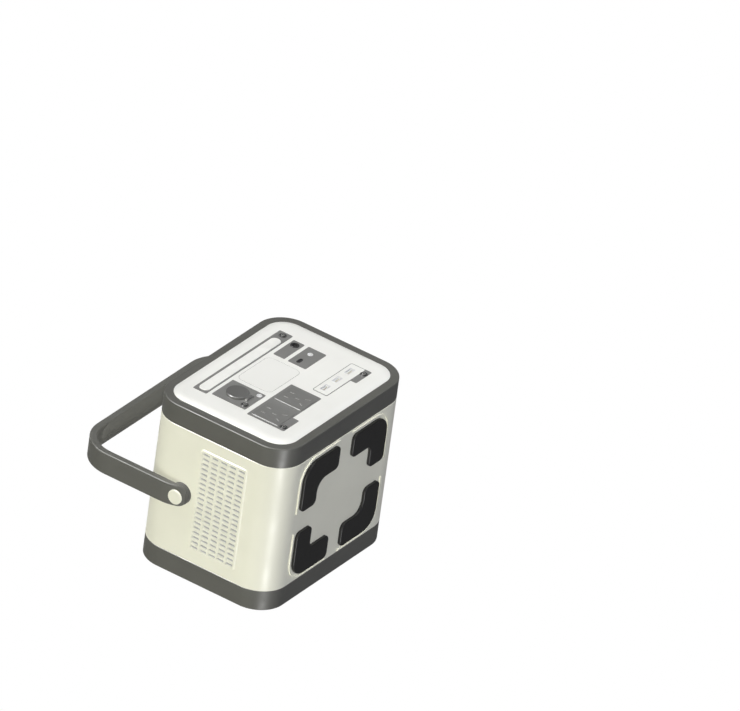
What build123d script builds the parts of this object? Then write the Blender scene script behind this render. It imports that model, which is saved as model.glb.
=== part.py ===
from build123d import *
from math import cos, floor, hypot, radians, sqrt
import os

# Portable power station: a four-sided sleeve closed by two dark rims, a front panel with the
# outlets and a plain rear cover, standing on four rubber feet and carried by a swinging bail.
# Millimetres. +Z up, the front panel faces -Y, X runs along the width. The origin is the middle
# of the body's footprint, at the height that the feet stand on.

# ---- Case ------------------------------------------------------------------------------------
WIDTH = 264                 # sleeve, outside, along X
HEIGHT = 198                # sleeve, outside, along Z, without the feet
DEPTH = 230                 # rim face to rim face, along Y
CORNER_R = 38               # case corners seen from the front
WALL = 3
SEAM_CHAMFER = 0.4          # bevel each side of the seam between sleeve and rim
FIT = 0.2                   # clearance round pieces that slot into each other

# ---- Rims and the two faces ------------------------------------------------------------------
RIM_LENGTH = 27.2           # along Y
RIM_FACE = 11.2             # width of the ring seen from the front
RIM_LIP = 3                 # thickness of that ring
RIM_EDGE_R = 1.4
TONGUE_LENGTH = 8           # part of the rim that slides into the sleeve
TONGUE_T = 2
BEAD = 1.2                  # snap bead that holds the panel's flange against the lip
BEAD_LENGTH = 1.5
PANEL_RISE = 3              # how far the panel's flat stands in front of the rim
PANEL_EDGE_R = 24           # radius of its soft edge
PANEL_T = 3.5
PANEL_EDGE_WALL = 2
PANEL_FIT = 0.15
FLANGE_T = 2.5

# ---- Screws: one size of pan head screw holds rims, tray and control board --------------------
SCREW_R = 2
SCREW_LENGTH = 10
SCREW_HEAD_R = 4
SCREW_HEAD_H = 2.4
SCREW_SLOT = (4.6, 0.9, 1.1)
SCREW_FIT = 0.05            # between shank and threaded hole
SCREW_HOLE_FIT = 0.3        # between shank and clearance hole
BOSS_R = 6
BOSS_LENGTH = 16
LUG_T = 4

# ---- Feet ------------------------------------------------------------------------------------
FOOT_H = 4
FOOT_INSET_X = 7.5          # from the start of the case corner to the foot's outer edge
FOOT_INSET_Y = 7.8          # from the sleeve's end to the foot's outer edge
FOOT_ARM_X = 31
FOOT_ARM_Y = 32.5
FOOT_END_X = 14             # distance of the arm ends from the middle lines
FOOT_END_Y = 15
FOOT_END_R = 7.5
FOOT_EDGE_R = 1.2
FOOT_WIDE_RADII = (25, 16)      # outer and inner corner of the two wide feet
FOOT_COMPACT_RADII = (24, 9)    # and of the two compact ones
PEG_R = 2.5
PEG_LENGTH = 4.5
PEG_PLACE = 32              # along each arm, from the middle lines
PEG_FIT = 0.15
RIDGE_OFFSET = 4.8          # drip ridge round each foot's outer edges
RIDGE_W = 1.2
RIDGE_H = 1.6

# ---- Vents -----------------------------------------------------------------------------------
VENT_FLOOR_GAP = 50         # from the case's underside to the grille
VENT_PIVOT_GAP = 20         # from the grille to the handle's pivot
VENT_END_GAP = 15.8         # from the grille to the sleeve's end
VENT_R = 5
GRILLE_RISE = 1.2
GRILLE_CHAMFER = 0.8
GRILLE_COVER = 3            # how far the grille's face covers the wall round its opening
GRILLE_INSIDE = 1.5         # how far its plug stands inside the wall
SLOT_SIZE = (4.5, 10.5)     # along Y and Z
SLOT_R = 1.6
SLOT_PITCH = (6.92, 12.85)
SLOT_BORDER = (3.8, 2.8)
HOOK_LENGTH = 10
HOOK_GRIP = 1.1
HOOK_T = 1.2
SCREEN_T = 0.8
SCREEN_FRAME = 2.5
SCREEN_HOLE = 2.4
SCREEN_PITCH = 4

# ---- Fans ------------------------------------------------------------------------------------
FAN_SIZE = 60
FAN_T = 15
FAN_SPACING = 64
FAN_DUCT_R = 28
FAN_CORNER_R = 4
FAN_HOLE_R = 2.15
FAN_HOLE_PITCH = 50
FAN_TIP_GAP = 1
FAN_HUB_R = 12.5
FAN_HUB_WALL = 1.5
FAN_BLADES = 7
FAN_BLADE_T = 1.2
FAN_BLADE_CHORD = 12
FAN_BLADE_ANGLE = 42
FAN_SHAFT_R = 1.5
FAN_SHAFT_FIT = 0.05
FAN_BUSH_WALL = 2.2
FAN_MOUNT_T = 2
FAN_STRUT_W = 4
FAN_AXIAL_GAP = 1

# ---- Handle ----------------------------------------------------------------------------------
PIVOT_BELOW_TOP = 60
HANDLE_GAP = 5.7            # between the sleeve and each arm, filled at the pivot by a spacer
HANDLE_T = 9.3
HANDLE_BAND = 29.2
HANDLE_CORNER_R = 49
HANDLE_EDGE_R = 1.6
HANDLE_SWING_GAP = 8.2        # between the grip and the case's edges as the handle swings
GRIP_BULGE = 4.2
GRIP_MARGIN = 1.5
SPACER_R = 14
BOLT_R = 4
BOLT_FIT = 0.05
BOLT_HOLE_FIT = 0.3
BOLT_HEAD_R = 7
BOLT_HEAD_H = 2.4
BOLT_SOCKET_R = 2.9          # hexagon socket, corner to centre
BOLT_SOCKET_FLOOR = 0.8
BOLT_HEAD_FIT = 0.5
PIVOT_CAP_R = 9.5
PIVOT_CAP_T = 2.4
PIVOT_CAP_SEAT = 2.1        # depth of the cap's recess in the arm
PIVOT_BOSS_R = 10
PIVOT_BOSS_H = 6
NUT_ACROSS_FLATS = 13
NUT_H = 6.5

# ---- Right side: dark inlay and mains inlet ---------------------------------------------------
INLAY_T = 1.4
INLET_FRONT_GAP = 20.6      # from the sleeve's front end to the inlet plate
INLET_TOP_GAP = 2.7         # from the inlay's top edge to the inlet plate
INLET_PLATE = (33.5, 36.3)  # along Y and Z
INLET_PLATE_RISE = 0.4
INLET_OUTSIDE = (29.1, 21.2)
INLET_TOP_BORDER = 4.1
INLET_CAVITY = (24.4, 16.4)
INLET_CAVITY_DEPTH = 17
INLET_DEPTH = 21
INLET_PIN = (2, 4)
INLET_PIN_LENGTH = 14
INLET_PIN_TAIL = 6
INLET_PIN_SPREAD = 14
INLET_PIN_STEP = 4          # how much higher the earth pin stands than the other two

# ---- Front layout: x_min, x_max, z_min, z_max from the panel's middle ---------------------------
INSERT_PROUD = 0.4
INSERT_FLANGE = 1
INSERT_FLANGE_T = 2
INSERT_R = 1.5
LAMP_BEZEL = (-91, 91, 48.5, 68)
LAMP_DIFFUSER = (-87, 73, 50.5, 64.5)
LAMP_DIFFUSER_PROUD = 0.6
LAMP_BOARD = (-89, 91, 49.5, 68.5)
LAMP_BOARD_GAP = 5.5        # from the bezel's back to the lamp board
LAMP_POSTS = (-80, 0, 80)
LAMP_POST_R = 1.2
LAMP_LEDS = 12
DC_PLATE = (41.4, 85, 26.8, 43)
PORT_PLATE = (41, 85.5, -5, 21.3)
CAR_PLATE = (-86.4, -42, -5.5, 43.5)
DISPLAY = (-34.6, 32.5, -5.5, 43.5)
DISPLAY_R = 8
AC_PLATE = (-92.2, 0.8, -57, -12.5)
AC_TAB = (-92.2, -59.7, -66.6, -57)
USB_FACE = (11, 92, -57.4, -37.6)
USB_BORDER = 0.8
USB_TAB = (60, 93.2, -66.6, -57.4)
USB_FACE_R = 1.5

# ---- Sockets, places as (x, z) from the panel's middle -----------------------------------------
DC_JACK_AT = (75.2, 34.9)
DC_JACK_R = 5.75
DC_JACK_HOLE_R = 4
DC_JACK_PIN_R = 1
USB_C_AT = (51.3, 10.7)
USB_C_SIZE = (11, 5)
USB_C_HOLE = (8.6, 2.8)
BARREL_AT = ((72.2, 9.9), (-48.3, 0))
BARREL_R = 3.6
BARREL_HOLE_R = 2.75
BARREL_PIN_R = 1.05
PORT_HOLE_DEPTH = 9
USB_A_AT = ((24.2, -45.7), (49.6, -45.7), (76, -45.7))
USB_A_SIZE = (14.5, 7)
USB_A_HOLE = (12.5, 5.1)
USB_A_TONGUE = (11, 1.8)
CAR_SOCKET_AT = (-64, 21.3)
CAR_BARREL_R = 12
CAR_BORE_R = 10.5
CAR_BORE_LENGTH = 40
CAR_BARREL_LENGTH = 48
CAR_WELL_R = 7              # narrower well behind the bore, with the centre contact in it
CAR_WELL_LENGTH = 6
CAR_COLLAR_R = 15
CAR_CONTACT_R = 3
CAP_R = 14.5
CAP_T = 3.6
CAP_EDGE_R = 1.6
CAP_TAB_W = 9
CAP_TAB_T = 2.6
CAP_HINGE_BELOW = 17.5      # from the cap's centre down to its hinge
HINGE_PIN_R = 0.8
HINGE_PIN_FIT = 0.06
HINGE_KNUCKLE_R = 1.8
HINGE_PLATE_GAP = 0.3       # between knuckle and plate
HINGE_EAR_W = 2.4
HINGE_SIDE_GAP = 0.3
AC_OUTLETS_AT = ((-70.2, -36), (-22, -36))
AC_OUTLET_SIZE = (37.5, 40)
AC_OUTLET_R = 2
AC_OUTLET_PROUD = 1
AC_OUTLET_DEPTH = 25
AC_SLOT = (1.9, 6.6)
AC_SLOT_DEPTH = 16
TWO_PIN_SPREAD = 12.7
TWO_PIN_UP = 11
EARTH_UP = -1
LIVE_UP = -11.5
LIVE_SPREAD = 15
LIVE_ANGLE = 30

# ---- Buttons ---------------------------------------------------------------------------------
LAMP_BUTTON_AT = (83.2, 58.2)
DC_BUTTON_AT = (-77.7, 0.7)
AC_BUTTON_AT = (-85, -61.8)
USB_BUTTON_AT = (82.8, -61.9)
BUTTON_R = 3.7
BUTTON_PROUD = 1
BUTTON_EDGE_R = 0.5
BUTTON_FIT = 0.3
BUTTON_TRAVEL = 1.2
BUTTON_SHOULDER = 0.9
BUTTON_SHOULDER_T = 1.4
BUTTON_STEM_R = 2
BUTTON_END_GAP = 0.1        # between stem and switch at full travel
SWITCH_SIZE = 6

# ---- Boards ----------------------------------------------------------------------------------
BOARD_T = 1.6
CONTROL_BOARD = (-96, 96, -70, 46)
CONTROL_BOARD_BACK = 14.5   # from the panel's inner face to the board's front
CONTROL_SWITCH_H = 5
LAMP_SWITCH_H = 2.2
CONTROL_POSTS = ((-45, -65), (45, -65), (20, -21), (80, -21))
CONTROL_POST_R = 3

# ---- Battery pack ------------------------------------------------------------------------------
CELL_R = 16.15
CELL_LENGTH = 70.2
CELL_BUTTON_R = 7
CELL_PITCH = 34
CELL_FIT = 0.25
HOLDER_MARGIN = 1.5
HOLDER_T = 8
HOLDER_SKIN = 2
PACK_REAR_GAP = 10          # from the rear rim's face to the pack
FRONT_BAY = 70              # room kept behind the front rim's face for sockets and boards
SIDE_AIR = 12               # between the pack and the fans
TRAY_T = 3
TRAY_BORDER = 2
TRAY_BOSS_H = 6
FLOOR_PAD_H = 2
FOOT_SCREW_INSET = (18.5, 18)
TRAY_SCREW_MARGIN = 8
BUS_T = 0.5
BUS_MARGIN = 6
BMS_BOARD = (100, 62)
BMS_UP = 4
BMS_CHIP = (8, 10, 3)
BMS_CHIPS = 6

# ---- Inverter ----------------------------------------------------------------------------------
INVERTER_POST_R = 4
INVERTER_POST_H = 10
HEATSINK = (52, 110, 36)
HEATSINK_BASE = 5
HEATSINK_FINS = 8
HEATSINK_FIN_T = 1.8
TRANSFORMER_R = 30
TRANSFORMER_HOLE_R = 10
TRANSFORMER_H = 28
TRANSFORMER_EDGE_R = 6
CAPACITOR_R = 9
CAPACITOR_H = 32
CAPACITOR_PITCH = 21
CAPACITORS = 4

# ---- Derived places ----------------------------------------------------------------------------
CASE_BOTTOM = FOOT_H
CASE_TOP = FOOT_H + HEIGHT
Z_MID = FOOT_H + HEIGHT / 2
SLEEVE_END = DEPTH / 2 - RIM_LENGTH
SIDE_X = WIDTH / 2
PIVOT_Z = CASE_TOP - PIVOT_BELOW_TOP

FACE_Y = -DEPTH / 2 - PANEL_RISE            # front of the panel's flat
PANEL_BACK = FACE_Y + PANEL_T               # its inner face
INSERT_FRONT = FACE_Y - INSERT_PROUD
INSERT_BACK = PANEL_BACK + INSERT_FLANGE_T
FLANGE_FRONT = -DEPTH / 2 + RIM_LIP
FLANGE_BACK = FLANGE_FRONT + FLANGE_T
PANEL_INSET = RIM_FACE + PANEL_FIT
CONTROL_Y = PANEL_BACK + CONTROL_BOARD_BACK     # front of the control board
LAMP_Y = INSERT_BACK + LAMP_BOARD_GAP           # front of the lamp board

CORNER_OFFSET = (CORNER_R - WALL - BOSS_R + 1) * cos(radians(45))
BOSS_X = WIDTH / 2 - CORNER_R + CORNER_OFFSET
BOSS_Z = HEIGHT / 2 - CORNER_R + CORNER_OFFSET

FOOT_X = WIDTH / 2 - CORNER_R - FOOT_INSET_X
FOOT_Y = SLEEVE_END - FOOT_INSET_Y
FOOT_SCREW = (FOOT_X - FOOT_SCREW_INSET[0], FOOT_Y - FOOT_SCREW_INSET[1])

VENT_HALF_Y = SLEEVE_END - VENT_END_GAP
VENT_BOTTOM = CASE_BOTTOM + VENT_FLOOR_GAP
VENT_TOP = PIVOT_Z - VENT_PIVOT_GAP
VENT_Z = (VENT_BOTTOM + VENT_TOP) / 2
VENT_SIZE = (2 * VENT_HALF_Y, VENT_TOP - VENT_BOTTOM)
VENT_OPENING = (VENT_SIZE[0] - 2 * GRILLE_COVER, VENT_SIZE[1] - 2 * GRILLE_COVER)
GRILLE_BACK_X = SIDE_X - WALL - GRILLE_INSIDE
SCREEN_BACK_X = GRILLE_BACK_X - SCREEN_T
FAN_BACK_X = SCREEN_BACK_X - FAN_T

INLAY_TOP = CASE_TOP - CORNER_R
INLAY_BOTTOM = CASE_BOTTOM + CORNER_R
INLET_Y = -SLEEVE_END + INLET_FRONT_GAP + INLET_PLATE[0] / 2
INLET_PLATE_Z = INLAY_TOP - INLET_TOP_GAP - INLET_PLATE[1] / 2
INLET_Z = INLAY_TOP - INLET_TOP_GAP - INLET_TOP_BORDER - INLET_OUTSIDE[1] / 2
INLET_FRONT_X = SIDE_X + INLET_PLATE_RISE

ARM_IN_X = SIDE_X + HANDLE_GAP
ARM_OUT_X = ARM_IN_X + HANDLE_T
GRIP_REACH = hypot(DEPTH / 2, PIVOT_BELOW_TOP) + HANDLE_SWING_GAP
BAR_BOTTOM = PIVOT_Z + GRIP_REACH + GRIP_BULGE
BAR_TOP = BAR_BOTTOM + HANDLE_T
CAP_SEAT_X = ARM_OUT_X - PIVOT_CAP_SEAT
BOLT_SEAT_X = CAP_SEAT_X - BOLT_HEAD_H - SCREW_HOLE_FIT
NUT_X = SIDE_X - WALL - PIVOT_BOSS_H

HINGE_Z = CAR_SOCKET_AT[1] - CAP_HINGE_BELOW
HINGE_Y = INSERT_FRONT - HINGE_KNUCKLE_R - HINGE_PLATE_GAP

PACK_ROOM_X = 2 * (FAN_BACK_X - SIDE_AIR)
PACK_ROOM_Y = DEPTH - PACK_REAR_GAP - FRONT_BAY
CELL_COLUMNS = floor((PACK_ROOM_X - 2 * HOLDER_MARGIN) / CELL_PITCH)
CELL_ROWS = floor((PACK_ROOM_Y - 2 * HOLDER_MARGIN) / CELL_PITCH)
PACK_SIZE = (CELL_COLUMNS * CELL_PITCH + 2 * HOLDER_MARGIN, CELL_ROWS * CELL_PITCH + 2 * HOLDER_MARGIN)
PACK_Y = DEPTH / 2 - PACK_REAR_GAP - PACK_SIZE[1] / 2
PACK_FRONT_Y = PACK_Y - PACK_SIZE[1] / 2
FLOOR_PAD_Z = CASE_BOTTOM + WALL + FLOOR_PAD_H
TRAY_Z = FLOOR_PAD_Z + TRAY_BOSS_H
TRAY_TOP = TRAY_Z + TRAY_T
CELL_Z = TRAY_TOP + HOLDER_SKIN
CELL_TOP = CELL_Z + CELL_LENGTH
HOLDER_TOP = CELL_TOP + HOLDER_SKIN
INVERTER_Z = HOLDER_TOP + INVERTER_POST_H
INVERTER_TOP = INVERTER_Z + BOARD_T


# ---- Helpers -----------------------------------------------------------------------------------
ON_BASE = (Align.CENTER, Align.CENTER, Align.MIN)


def front_plane(y):
    """Front view: local x is X, local y is Z from the case's middle, and the normal is -Y."""
    return Plane((0, y, Z_MID), x_dir=(1, 0, 0), z_dir=(0, -1, 0))


def side_plane(x):
    """Right view: local x is Y, local y is Z, and the normal is +X."""
    return Plane((x, 0, 0), x_dir=(0, 1, 0), z_dir=(1, 0, 0))


def plate(outline, y_back, y_front):
    """Front-view outline, extruded from y_back forward to y_front."""
    return extrude(front_plane(y_back) * outline, amount=y_back - y_front)


def side_plate(outline, x_in, x_out):
    """Right-view outline, extruded from x_in outward to x_out."""
    return extrude(side_plane(x_in) * outline, amount=x_out - x_in)


def case_outline(inset=0):
    """The case seen from the front, made smaller all round by inset."""
    return RectangleRounded(WIDTH - 2 * inset, HEIGHT - 2 * inset, CORNER_R - inset)


def area(box, radius=INSERT_R):
    """Rounded rectangle from x_min, x_max, z_min, z_max."""
    x_min, x_max, z_min, z_max = box
    outline = RectangleRounded(x_max - x_min, z_max - z_min, radius)
    return Pos((x_min + x_max) / 2, (z_min + z_max) / 2) * outline


def grown(box, by):
    return (box[0] - by, box[1] + by, box[2] - by, box[3] + by)


def at_y(shape, y):
    """Edges of a shape that lie in the plane at y."""
    return shape.edges().filter_by_position(Axis.Y, y - 0.01, y + 0.01)


def at_x(shape, x):
    return shape.edges().filter_by_position(Axis.X, x - 0.01, x + 0.01)


def mirrored_x(shape):
    return mirror(shape, about=Plane.YZ)


def group(shapes):
    """Separate solids that share one node."""
    return Compound([solid for shape in shapes for solid in shape.solids()])


def corners(x, y):
    return [(sx * x, sy * y) for sx in (-1, 1) for sy in (-1, 1)]


def screw():
    """Pan head screw: head below z=0, shank above it."""
    body = Cylinder(SCREW_R, SCREW_LENGTH, align=ON_BASE)
    head = Pos(0, 0, -SCREW_HEAD_H) * Cylinder(SCREW_HEAD_R, SCREW_HEAD_H, align=ON_BASE)
    head = fillet(head.edges().group_by(Axis.Z)[0], SCREW_HEAD_H * 0.4)
    length, width, depth = SCREW_SLOT
    cross = Box(length, width, 2 * depth) + Box(width, length, 2 * depth)
    return body + head - Pos(0, 0, -SCREW_HEAD_H) * cross


# ---- Sleeve ------------------------------------------------------------------------------------
def ring_quadrant(radii, sx, sy):
    """Drip ridge outside one foot: a quarter of a rounded frame."""
    radius = radii[0] + RIDGE_OFFSET
    half_x = FOOT_X + RIDGE_OFFSET
    half_y = FOOT_Y + RIDGE_OFFSET
    outside = RectangleRounded(2 * half_x + RIDGE_W, 2 * half_y + RIDGE_W, radius + RIDGE_W / 2)
    inside = RectangleRounded(2 * half_x - RIDGE_W, 2 * half_y - RIDGE_W, radius - RIDGE_W / 2)
    quarter = Pos(sx * (half_x + FOOT_END_X) / 2, sy * (half_y + FOOT_END_Y) / 2) * Rectangle(
        half_x - FOOT_END_X + RIDGE_W, half_y - FOOT_END_Y + RIDGE_W)
    return extrude(Pos(0, 0, CASE_BOTTOM - RIDGE_H) * ((outside - inside) & quarter), amount=RIDGE_H)


def vent_opening(grow=0):
    size_y, size_z = VENT_OPENING
    radius = VENT_R - GRILLE_COVER + grow
    return Pos(0, VENT_Z) * RectangleRounded(size_y + 2 * grow, size_z + 2 * grow, radius)


def inlet_outline(grow=0):
    width, height = INLET_OUTSIDE
    return Pos(INLET_Y, INLET_Z) * RectangleRounded(width + 2 * grow, height + 2 * grow, INSERT_R)


def bolt_hole(x_in, x_out, radius):
    return side_plate(Pos(0, PIVOT_Z) * Circle(radius), x_in, x_out)


def body_sleeve():
    tube = plate(case_outline() - case_outline(WALL), SLEEVE_END, -SLEEVE_END)
    for end in (-SLEEVE_END, SLEEVE_END):
        outer = [edge for edge in at_y(tube, end) if edge.length > 0 and not on_inner_wall(edge)]
        tube = chamfer(outer, SEAM_CHAMFER)

    for x, z in corners(BOSS_X, BOSS_Z):
        post = plate(Pos(x, z) * Circle(BOSS_R), SLEEVE_END, SLEEVE_END - BOSS_LENGTH)
        post += plate(Pos(x, z) * Circle(BOSS_R), -SLEEVE_END + BOSS_LENGTH, -SLEEVE_END)
        tube += post & plate(case_outline(WALL / 2), SLEEVE_END, -SLEEVE_END)
        hole = Pos(x, z) * Circle(SCREW_R + SCREW_FIT)
        tube -= plate(hole, SLEEVE_END, SLEEVE_END - SCREW_LENGTH)
        tube -= plate(hole, -SLEEVE_END + SCREW_LENGTH, -SLEEVE_END)

    for x, y in corners(*FOOT_SCREW):
        pad_z = CASE_BOTTOM + WALL / 2
        tube += Pos(x, y, pad_z) * Cylinder(
            BOSS_R + 1, FLOOR_PAD_Z - pad_z, align=ON_BASE)
        tube -= Pos(x, y, CASE_BOTTOM) * Cylinder(SCREW_R + SCREW_HOLE_FIT, 4 * WALL)
        tube -= Pos(x, y, CASE_BOTTOM) * Cylinder(SCREW_HEAD_R + FIT, 2 * SCREW_HEAD_H)

    for sx, sy, radii in FEET.values():
        tube += ring_quadrant(radii, sx, sy)
        for x, y in peg_places():
            tube -= Pos(sx * x, sy * y, CASE_BOTTOM) * Cylinder(PEG_R + PEG_FIT, 4 * WALL)

    boss = side_plate(Pos(0, PIVOT_Z) * Circle(PIVOT_BOSS_R), NUT_X, SIDE_X - WALL / 2)
    hole = bolt_hole(NUT_X - 1, SIDE_X + 1, BOLT_R + BOLT_HOLE_FIT)
    vent = side_plate(vent_opening(FIT), SIDE_X - 2 * WALL, SIDE_X + 1)
    for side in (lambda shape: shape, mirrored_x):
        tube = tube + side(boss) - side(hole) - side(vent)

    pocket = Pos(0, (INLAY_TOP + INLAY_BOTTOM) / 2) * Rectangle(2 * SLEEVE_END, INLAY_TOP - INLAY_BOTTOM)
    tube -= side_plate(pocket, SIDE_X - INLAY_T, SIDE_X + 1)
    return tube - side_plate(inlet_outline(FIT), SIDE_X - 2 * WALL, SIDE_X + 1)


def on_inner_wall(edge):
    """True for an edge on the inside of the case's wall."""
    middle = edge @ 0.5
    flat_x = abs(middle.X) < WIDTH / 2 - WALL / 2
    flat_z = abs(middle.Z - Z_MID) < HEIGHT / 2 - WALL / 2
    corner = hypot(max(abs(middle.X) - (WIDTH / 2 - CORNER_R), 0),
                   max(abs(middle.Z - Z_MID) - (HEIGHT / 2 - CORNER_R), 0))
    return flat_x and flat_z and corner < CORNER_R - WALL / 2


# ---- Feet --------------------------------------------------------------------------------------
FEET = {
    "foot_front_left": (-1, -1, FOOT_WIDE_RADII),
    "foot_front_right": (1, -1, FOOT_COMPACT_RADII),
    "foot_rear_left": (-1, 1, FOOT_COMPACT_RADII),
    "foot_rear_right": (1, 1, FOOT_WIDE_RADII),
}


def peg_places():
    return ((PEG_PLACE, FOOT_Y - FOOT_ARM_Y / 2), (FOOT_X - FOOT_ARM_X / 2, PEG_PLACE))


def foot(sx, sy, radii):
    """L-shaped rubber foot with two pegs that go through the sleeve's floor."""
    outer_r, inner_r = radii
    inner_x = FOOT_X - FOOT_ARM_X
    inner_y = FOOT_Y - FOOT_ARM_Y
    straight = min(inner_x - FOOT_END_X, inner_y - FOOT_END_Y) - FOOT_END_R
    inner_r = min(inner_r, straight - 0.5)
    outline = make_face(Polyline(
        (FOOT_END_X, FOOT_Y), (FOOT_X, FOOT_Y), (FOOT_X, FOOT_END_Y),
        (inner_x, FOOT_END_Y), (inner_x, inner_y), (FOOT_END_X, inner_y), close=True))
    ends = [v for v in outline.vertices() if abs(v.X - FOOT_END_X) < 0.1 or abs(v.Y - FOOT_END_Y) < 0.1]
    outline = fillet(ends, FOOT_END_R)
    outline = fillet(nearest(outline, FOOT_X, FOOT_Y), outer_r)
    outline = fillet(nearest(outline, inner_x, inner_y), inner_r)
    pad = extrude(outline, amount=FOOT_H)
    pad = fillet(pad.edges().filter_by_position(Axis.Z, -0.01, 0.01), FOOT_EDGE_R)
    for x, y in peg_places():
        pad += Pos(x, y, FOOT_H - 1) * Cylinder(PEG_R, PEG_LENGTH + 1, align=ON_BASE)
    if sx < 0:
        pad = mirror(pad, about=Plane.YZ)
    if sy < 0:
        pad = mirror(pad, about=Plane.XZ)
    return pad


def nearest(outline, x, y):
    return min(outline.vertices(), key=lambda v: hypot(v.X - x, v.Y - y))


# ---- Rims, panel and rear cover -----------------------------------------------------------------
def rim():
    """The front rim: shell, face ring, snap bead, tongue into the sleeve and four screw lugs."""
    front = -DEPTH / 2
    seam = -SLEEVE_END
    block = plate(case_outline(), seam, front)
    block = fillet(at_y(block, front), RIM_EDGE_R)
    block = chamfer(at_y(block, seam), SEAM_CHAMFER)
    body = block - plate(case_outline(WALL), seam, front + RIM_LIP)
    body -= plate(case_outline(RIM_FACE), seam, front - 1)
    bead_front = FLANGE_BACK + FIT
    body += plate(case_outline(WALL / 2) - case_outline(WALL + BEAD), bead_front + BEAD_LENGTH, bead_front)
    inner = case_outline(WALL + FIT + TONGUE_T)
    body += plate(case_outline(WALL / 2) - inner, seam - SEAM_CHAMFER, seam - LUG_T)
    tongue = plate(case_outline(WALL + FIT) - inner, seam + TONGUE_LENGTH, seam - LUG_T)
    for x, z in corners(BOSS_X, BOSS_Z):
        tongue -= plate(Pos(x, z) * Circle(BOSS_R + FIT), seam + TONGUE_LENGTH, seam)
    body += tongue
    for x, z in corners(BOSS_X, BOSS_Z):
        lug = plate(Pos(x, z) * Circle(BOSS_R + 1), seam, seam - LUG_T)
        body += lug & plate(case_outline(WALL / 2), seam, front)
        body -= plate(Pos(x, z) * Circle(SCREW_R + SCREW_HOLE_FIT), seam + 1, seam - LUG_T - 1)
    return body


def face_panel():
    """Panel with a soft edge, set in the rim's opening, with a flange behind the rim's lip."""
    flat_reach = sqrt(PANEL_EDGE_R ** 2 - (PANEL_EDGE_R - PANEL_RISE) ** 2)
    spread = PANEL_EDGE_R - flat_reach
    block = plate(case_outline(PANEL_INSET - spread), FACE_Y + PANEL_EDGE_R + 1, FACE_Y)
    block = fillet(at_y(block, FACE_Y), PANEL_EDGE_R)
    body = block & plate(case_outline(PANEL_INSET), FLANGE_BACK, FACE_Y)
    flange = case_outline(WALL + FIT) - case_outline(PANEL_INSET + PANEL_EDGE_WALL)
    body += plate(flange, FLANGE_BACK, FLANGE_FRONT)
    return body - plate(case_outline(PANEL_INSET + PANEL_EDGE_WALL), FLANGE_BACK, PANEL_BACK)


def ac_outline():
    return area(AC_PLATE) + area((AC_TAB[0], AC_TAB[1], AC_TAB[2], AC_TAB[3] + 2 * INSERT_R))


def usb_outline():
    return area(grown(USB_FACE, USB_BORDER), USB_FACE_R + USB_BORDER) + area(
        (USB_TAB[0], USB_TAB[1], USB_TAB[2], USB_TAB[3] + USB_FACE_R))


def insert_outlines():
    """Outline of each piece that sits in an opening of the front panel."""
    return {
        "lamp": area(LAMP_BEZEL),
        "dc": area(DC_PLATE),
        "port": area(PORT_PLATE),
        "car": area(CAR_PLATE),
        "display": area(DISPLAY, DISPLAY_R),
        "ac": ac_outline(),
        "usb": usb_outline(),
    }


def front_panel():
    body = face_panel()
    for outline in insert_outlines().values():
        body -= plate(offset(outline, FIT, kind=Kind.INTERSECTION), PANEL_BACK + 1, FACE_Y - 1)
    for x, z in CONTROL_POSTS:
        body += plate(Pos(x, z) * Circle(CONTROL_POST_R), CONTROL_Y, PANEL_BACK - 1)
        body -= plate(Pos(x, z) * Circle(SCREW_R + SCREW_FIT), CONTROL_Y + 1, CONTROL_Y - SCREW_LENGTH)
    return body


def insert(name, proud=INSERT_PROUD):
    """Plate through the panel with a flange behind it."""
    outline = insert_outlines()[name]
    body = plate(outline, INSERT_BACK, FACE_Y - proud)
    flange = offset(outline, INSERT_FLANGE, kind=Kind.INTERSECTION)
    return body + plate(flange, INSERT_BACK, PANEL_BACK)


def through(outline):
    """Cut that passes a front insert from face to back."""
    return plate(outline, INSERT_BACK + 1, INSERT_FRONT - 5)


def button_hole(place):
    return through(Pos(*place) * Circle(BUTTON_R + BUTTON_FIT))


# ---- Lamp --------------------------------------------------------------------------------------
def diffuser_r():
    return (LAMP_DIFFUSER[3] - LAMP_DIFFUSER[2]) / 2 - 0.01


def lamp_bezel():
    body = insert("lamp") - button_hole(LAMP_BUTTON_AT)
    body -= through(offset(area(LAMP_DIFFUSER, diffuser_r()), FIT))
    for x in LAMP_POSTS:
        body += plate(Pos(x, LAMP_BEZEL[3] - LAMP_POST_R) * Circle(LAMP_POST_R), LAMP_Y, INSERT_BACK - 1)
    return body


def lamp_diffuser():
    outline = area(LAMP_DIFFUSER, diffuser_r())
    front = INSERT_FRONT - LAMP_DIFFUSER_PROUD
    body = plate(outline, INSERT_BACK, front)
    body = fillet(at_y(body, front), LAMP_DIFFUSER_PROUD)
    return body + plate(offset(outline, INSERT_FLANGE), INSERT_BACK + 1.5, INSERT_BACK)


def lamp_led_board():
    body = plate(area(LAMP_BOARD), LAMP_Y + BOARD_T, LAMP_Y)
    middle = (LAMP_DIFFUSER[2] + LAMP_DIFFUSER[3]) / 2
    span = LAMP_DIFFUSER[1] - LAMP_DIFFUSER[0]
    for index in range(LAMP_LEDS):
        x = LAMP_DIFFUSER[0] + span * (index + 0.5) / LAMP_LEDS
        body += plate(Pos(x, middle) * Rectangle(5, 5), LAMP_Y + 0.5, LAMP_Y - 1.2)
    return body + switch(LAMP_BUTTON_AT, LAMP_Y, LAMP_SWITCH_H)


def switch(place, board_y, height):
    return plate(Pos(*place) * Rectangle(SWITCH_SIZE, SWITCH_SIZE), board_y + 0.5, board_y - height)


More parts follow.
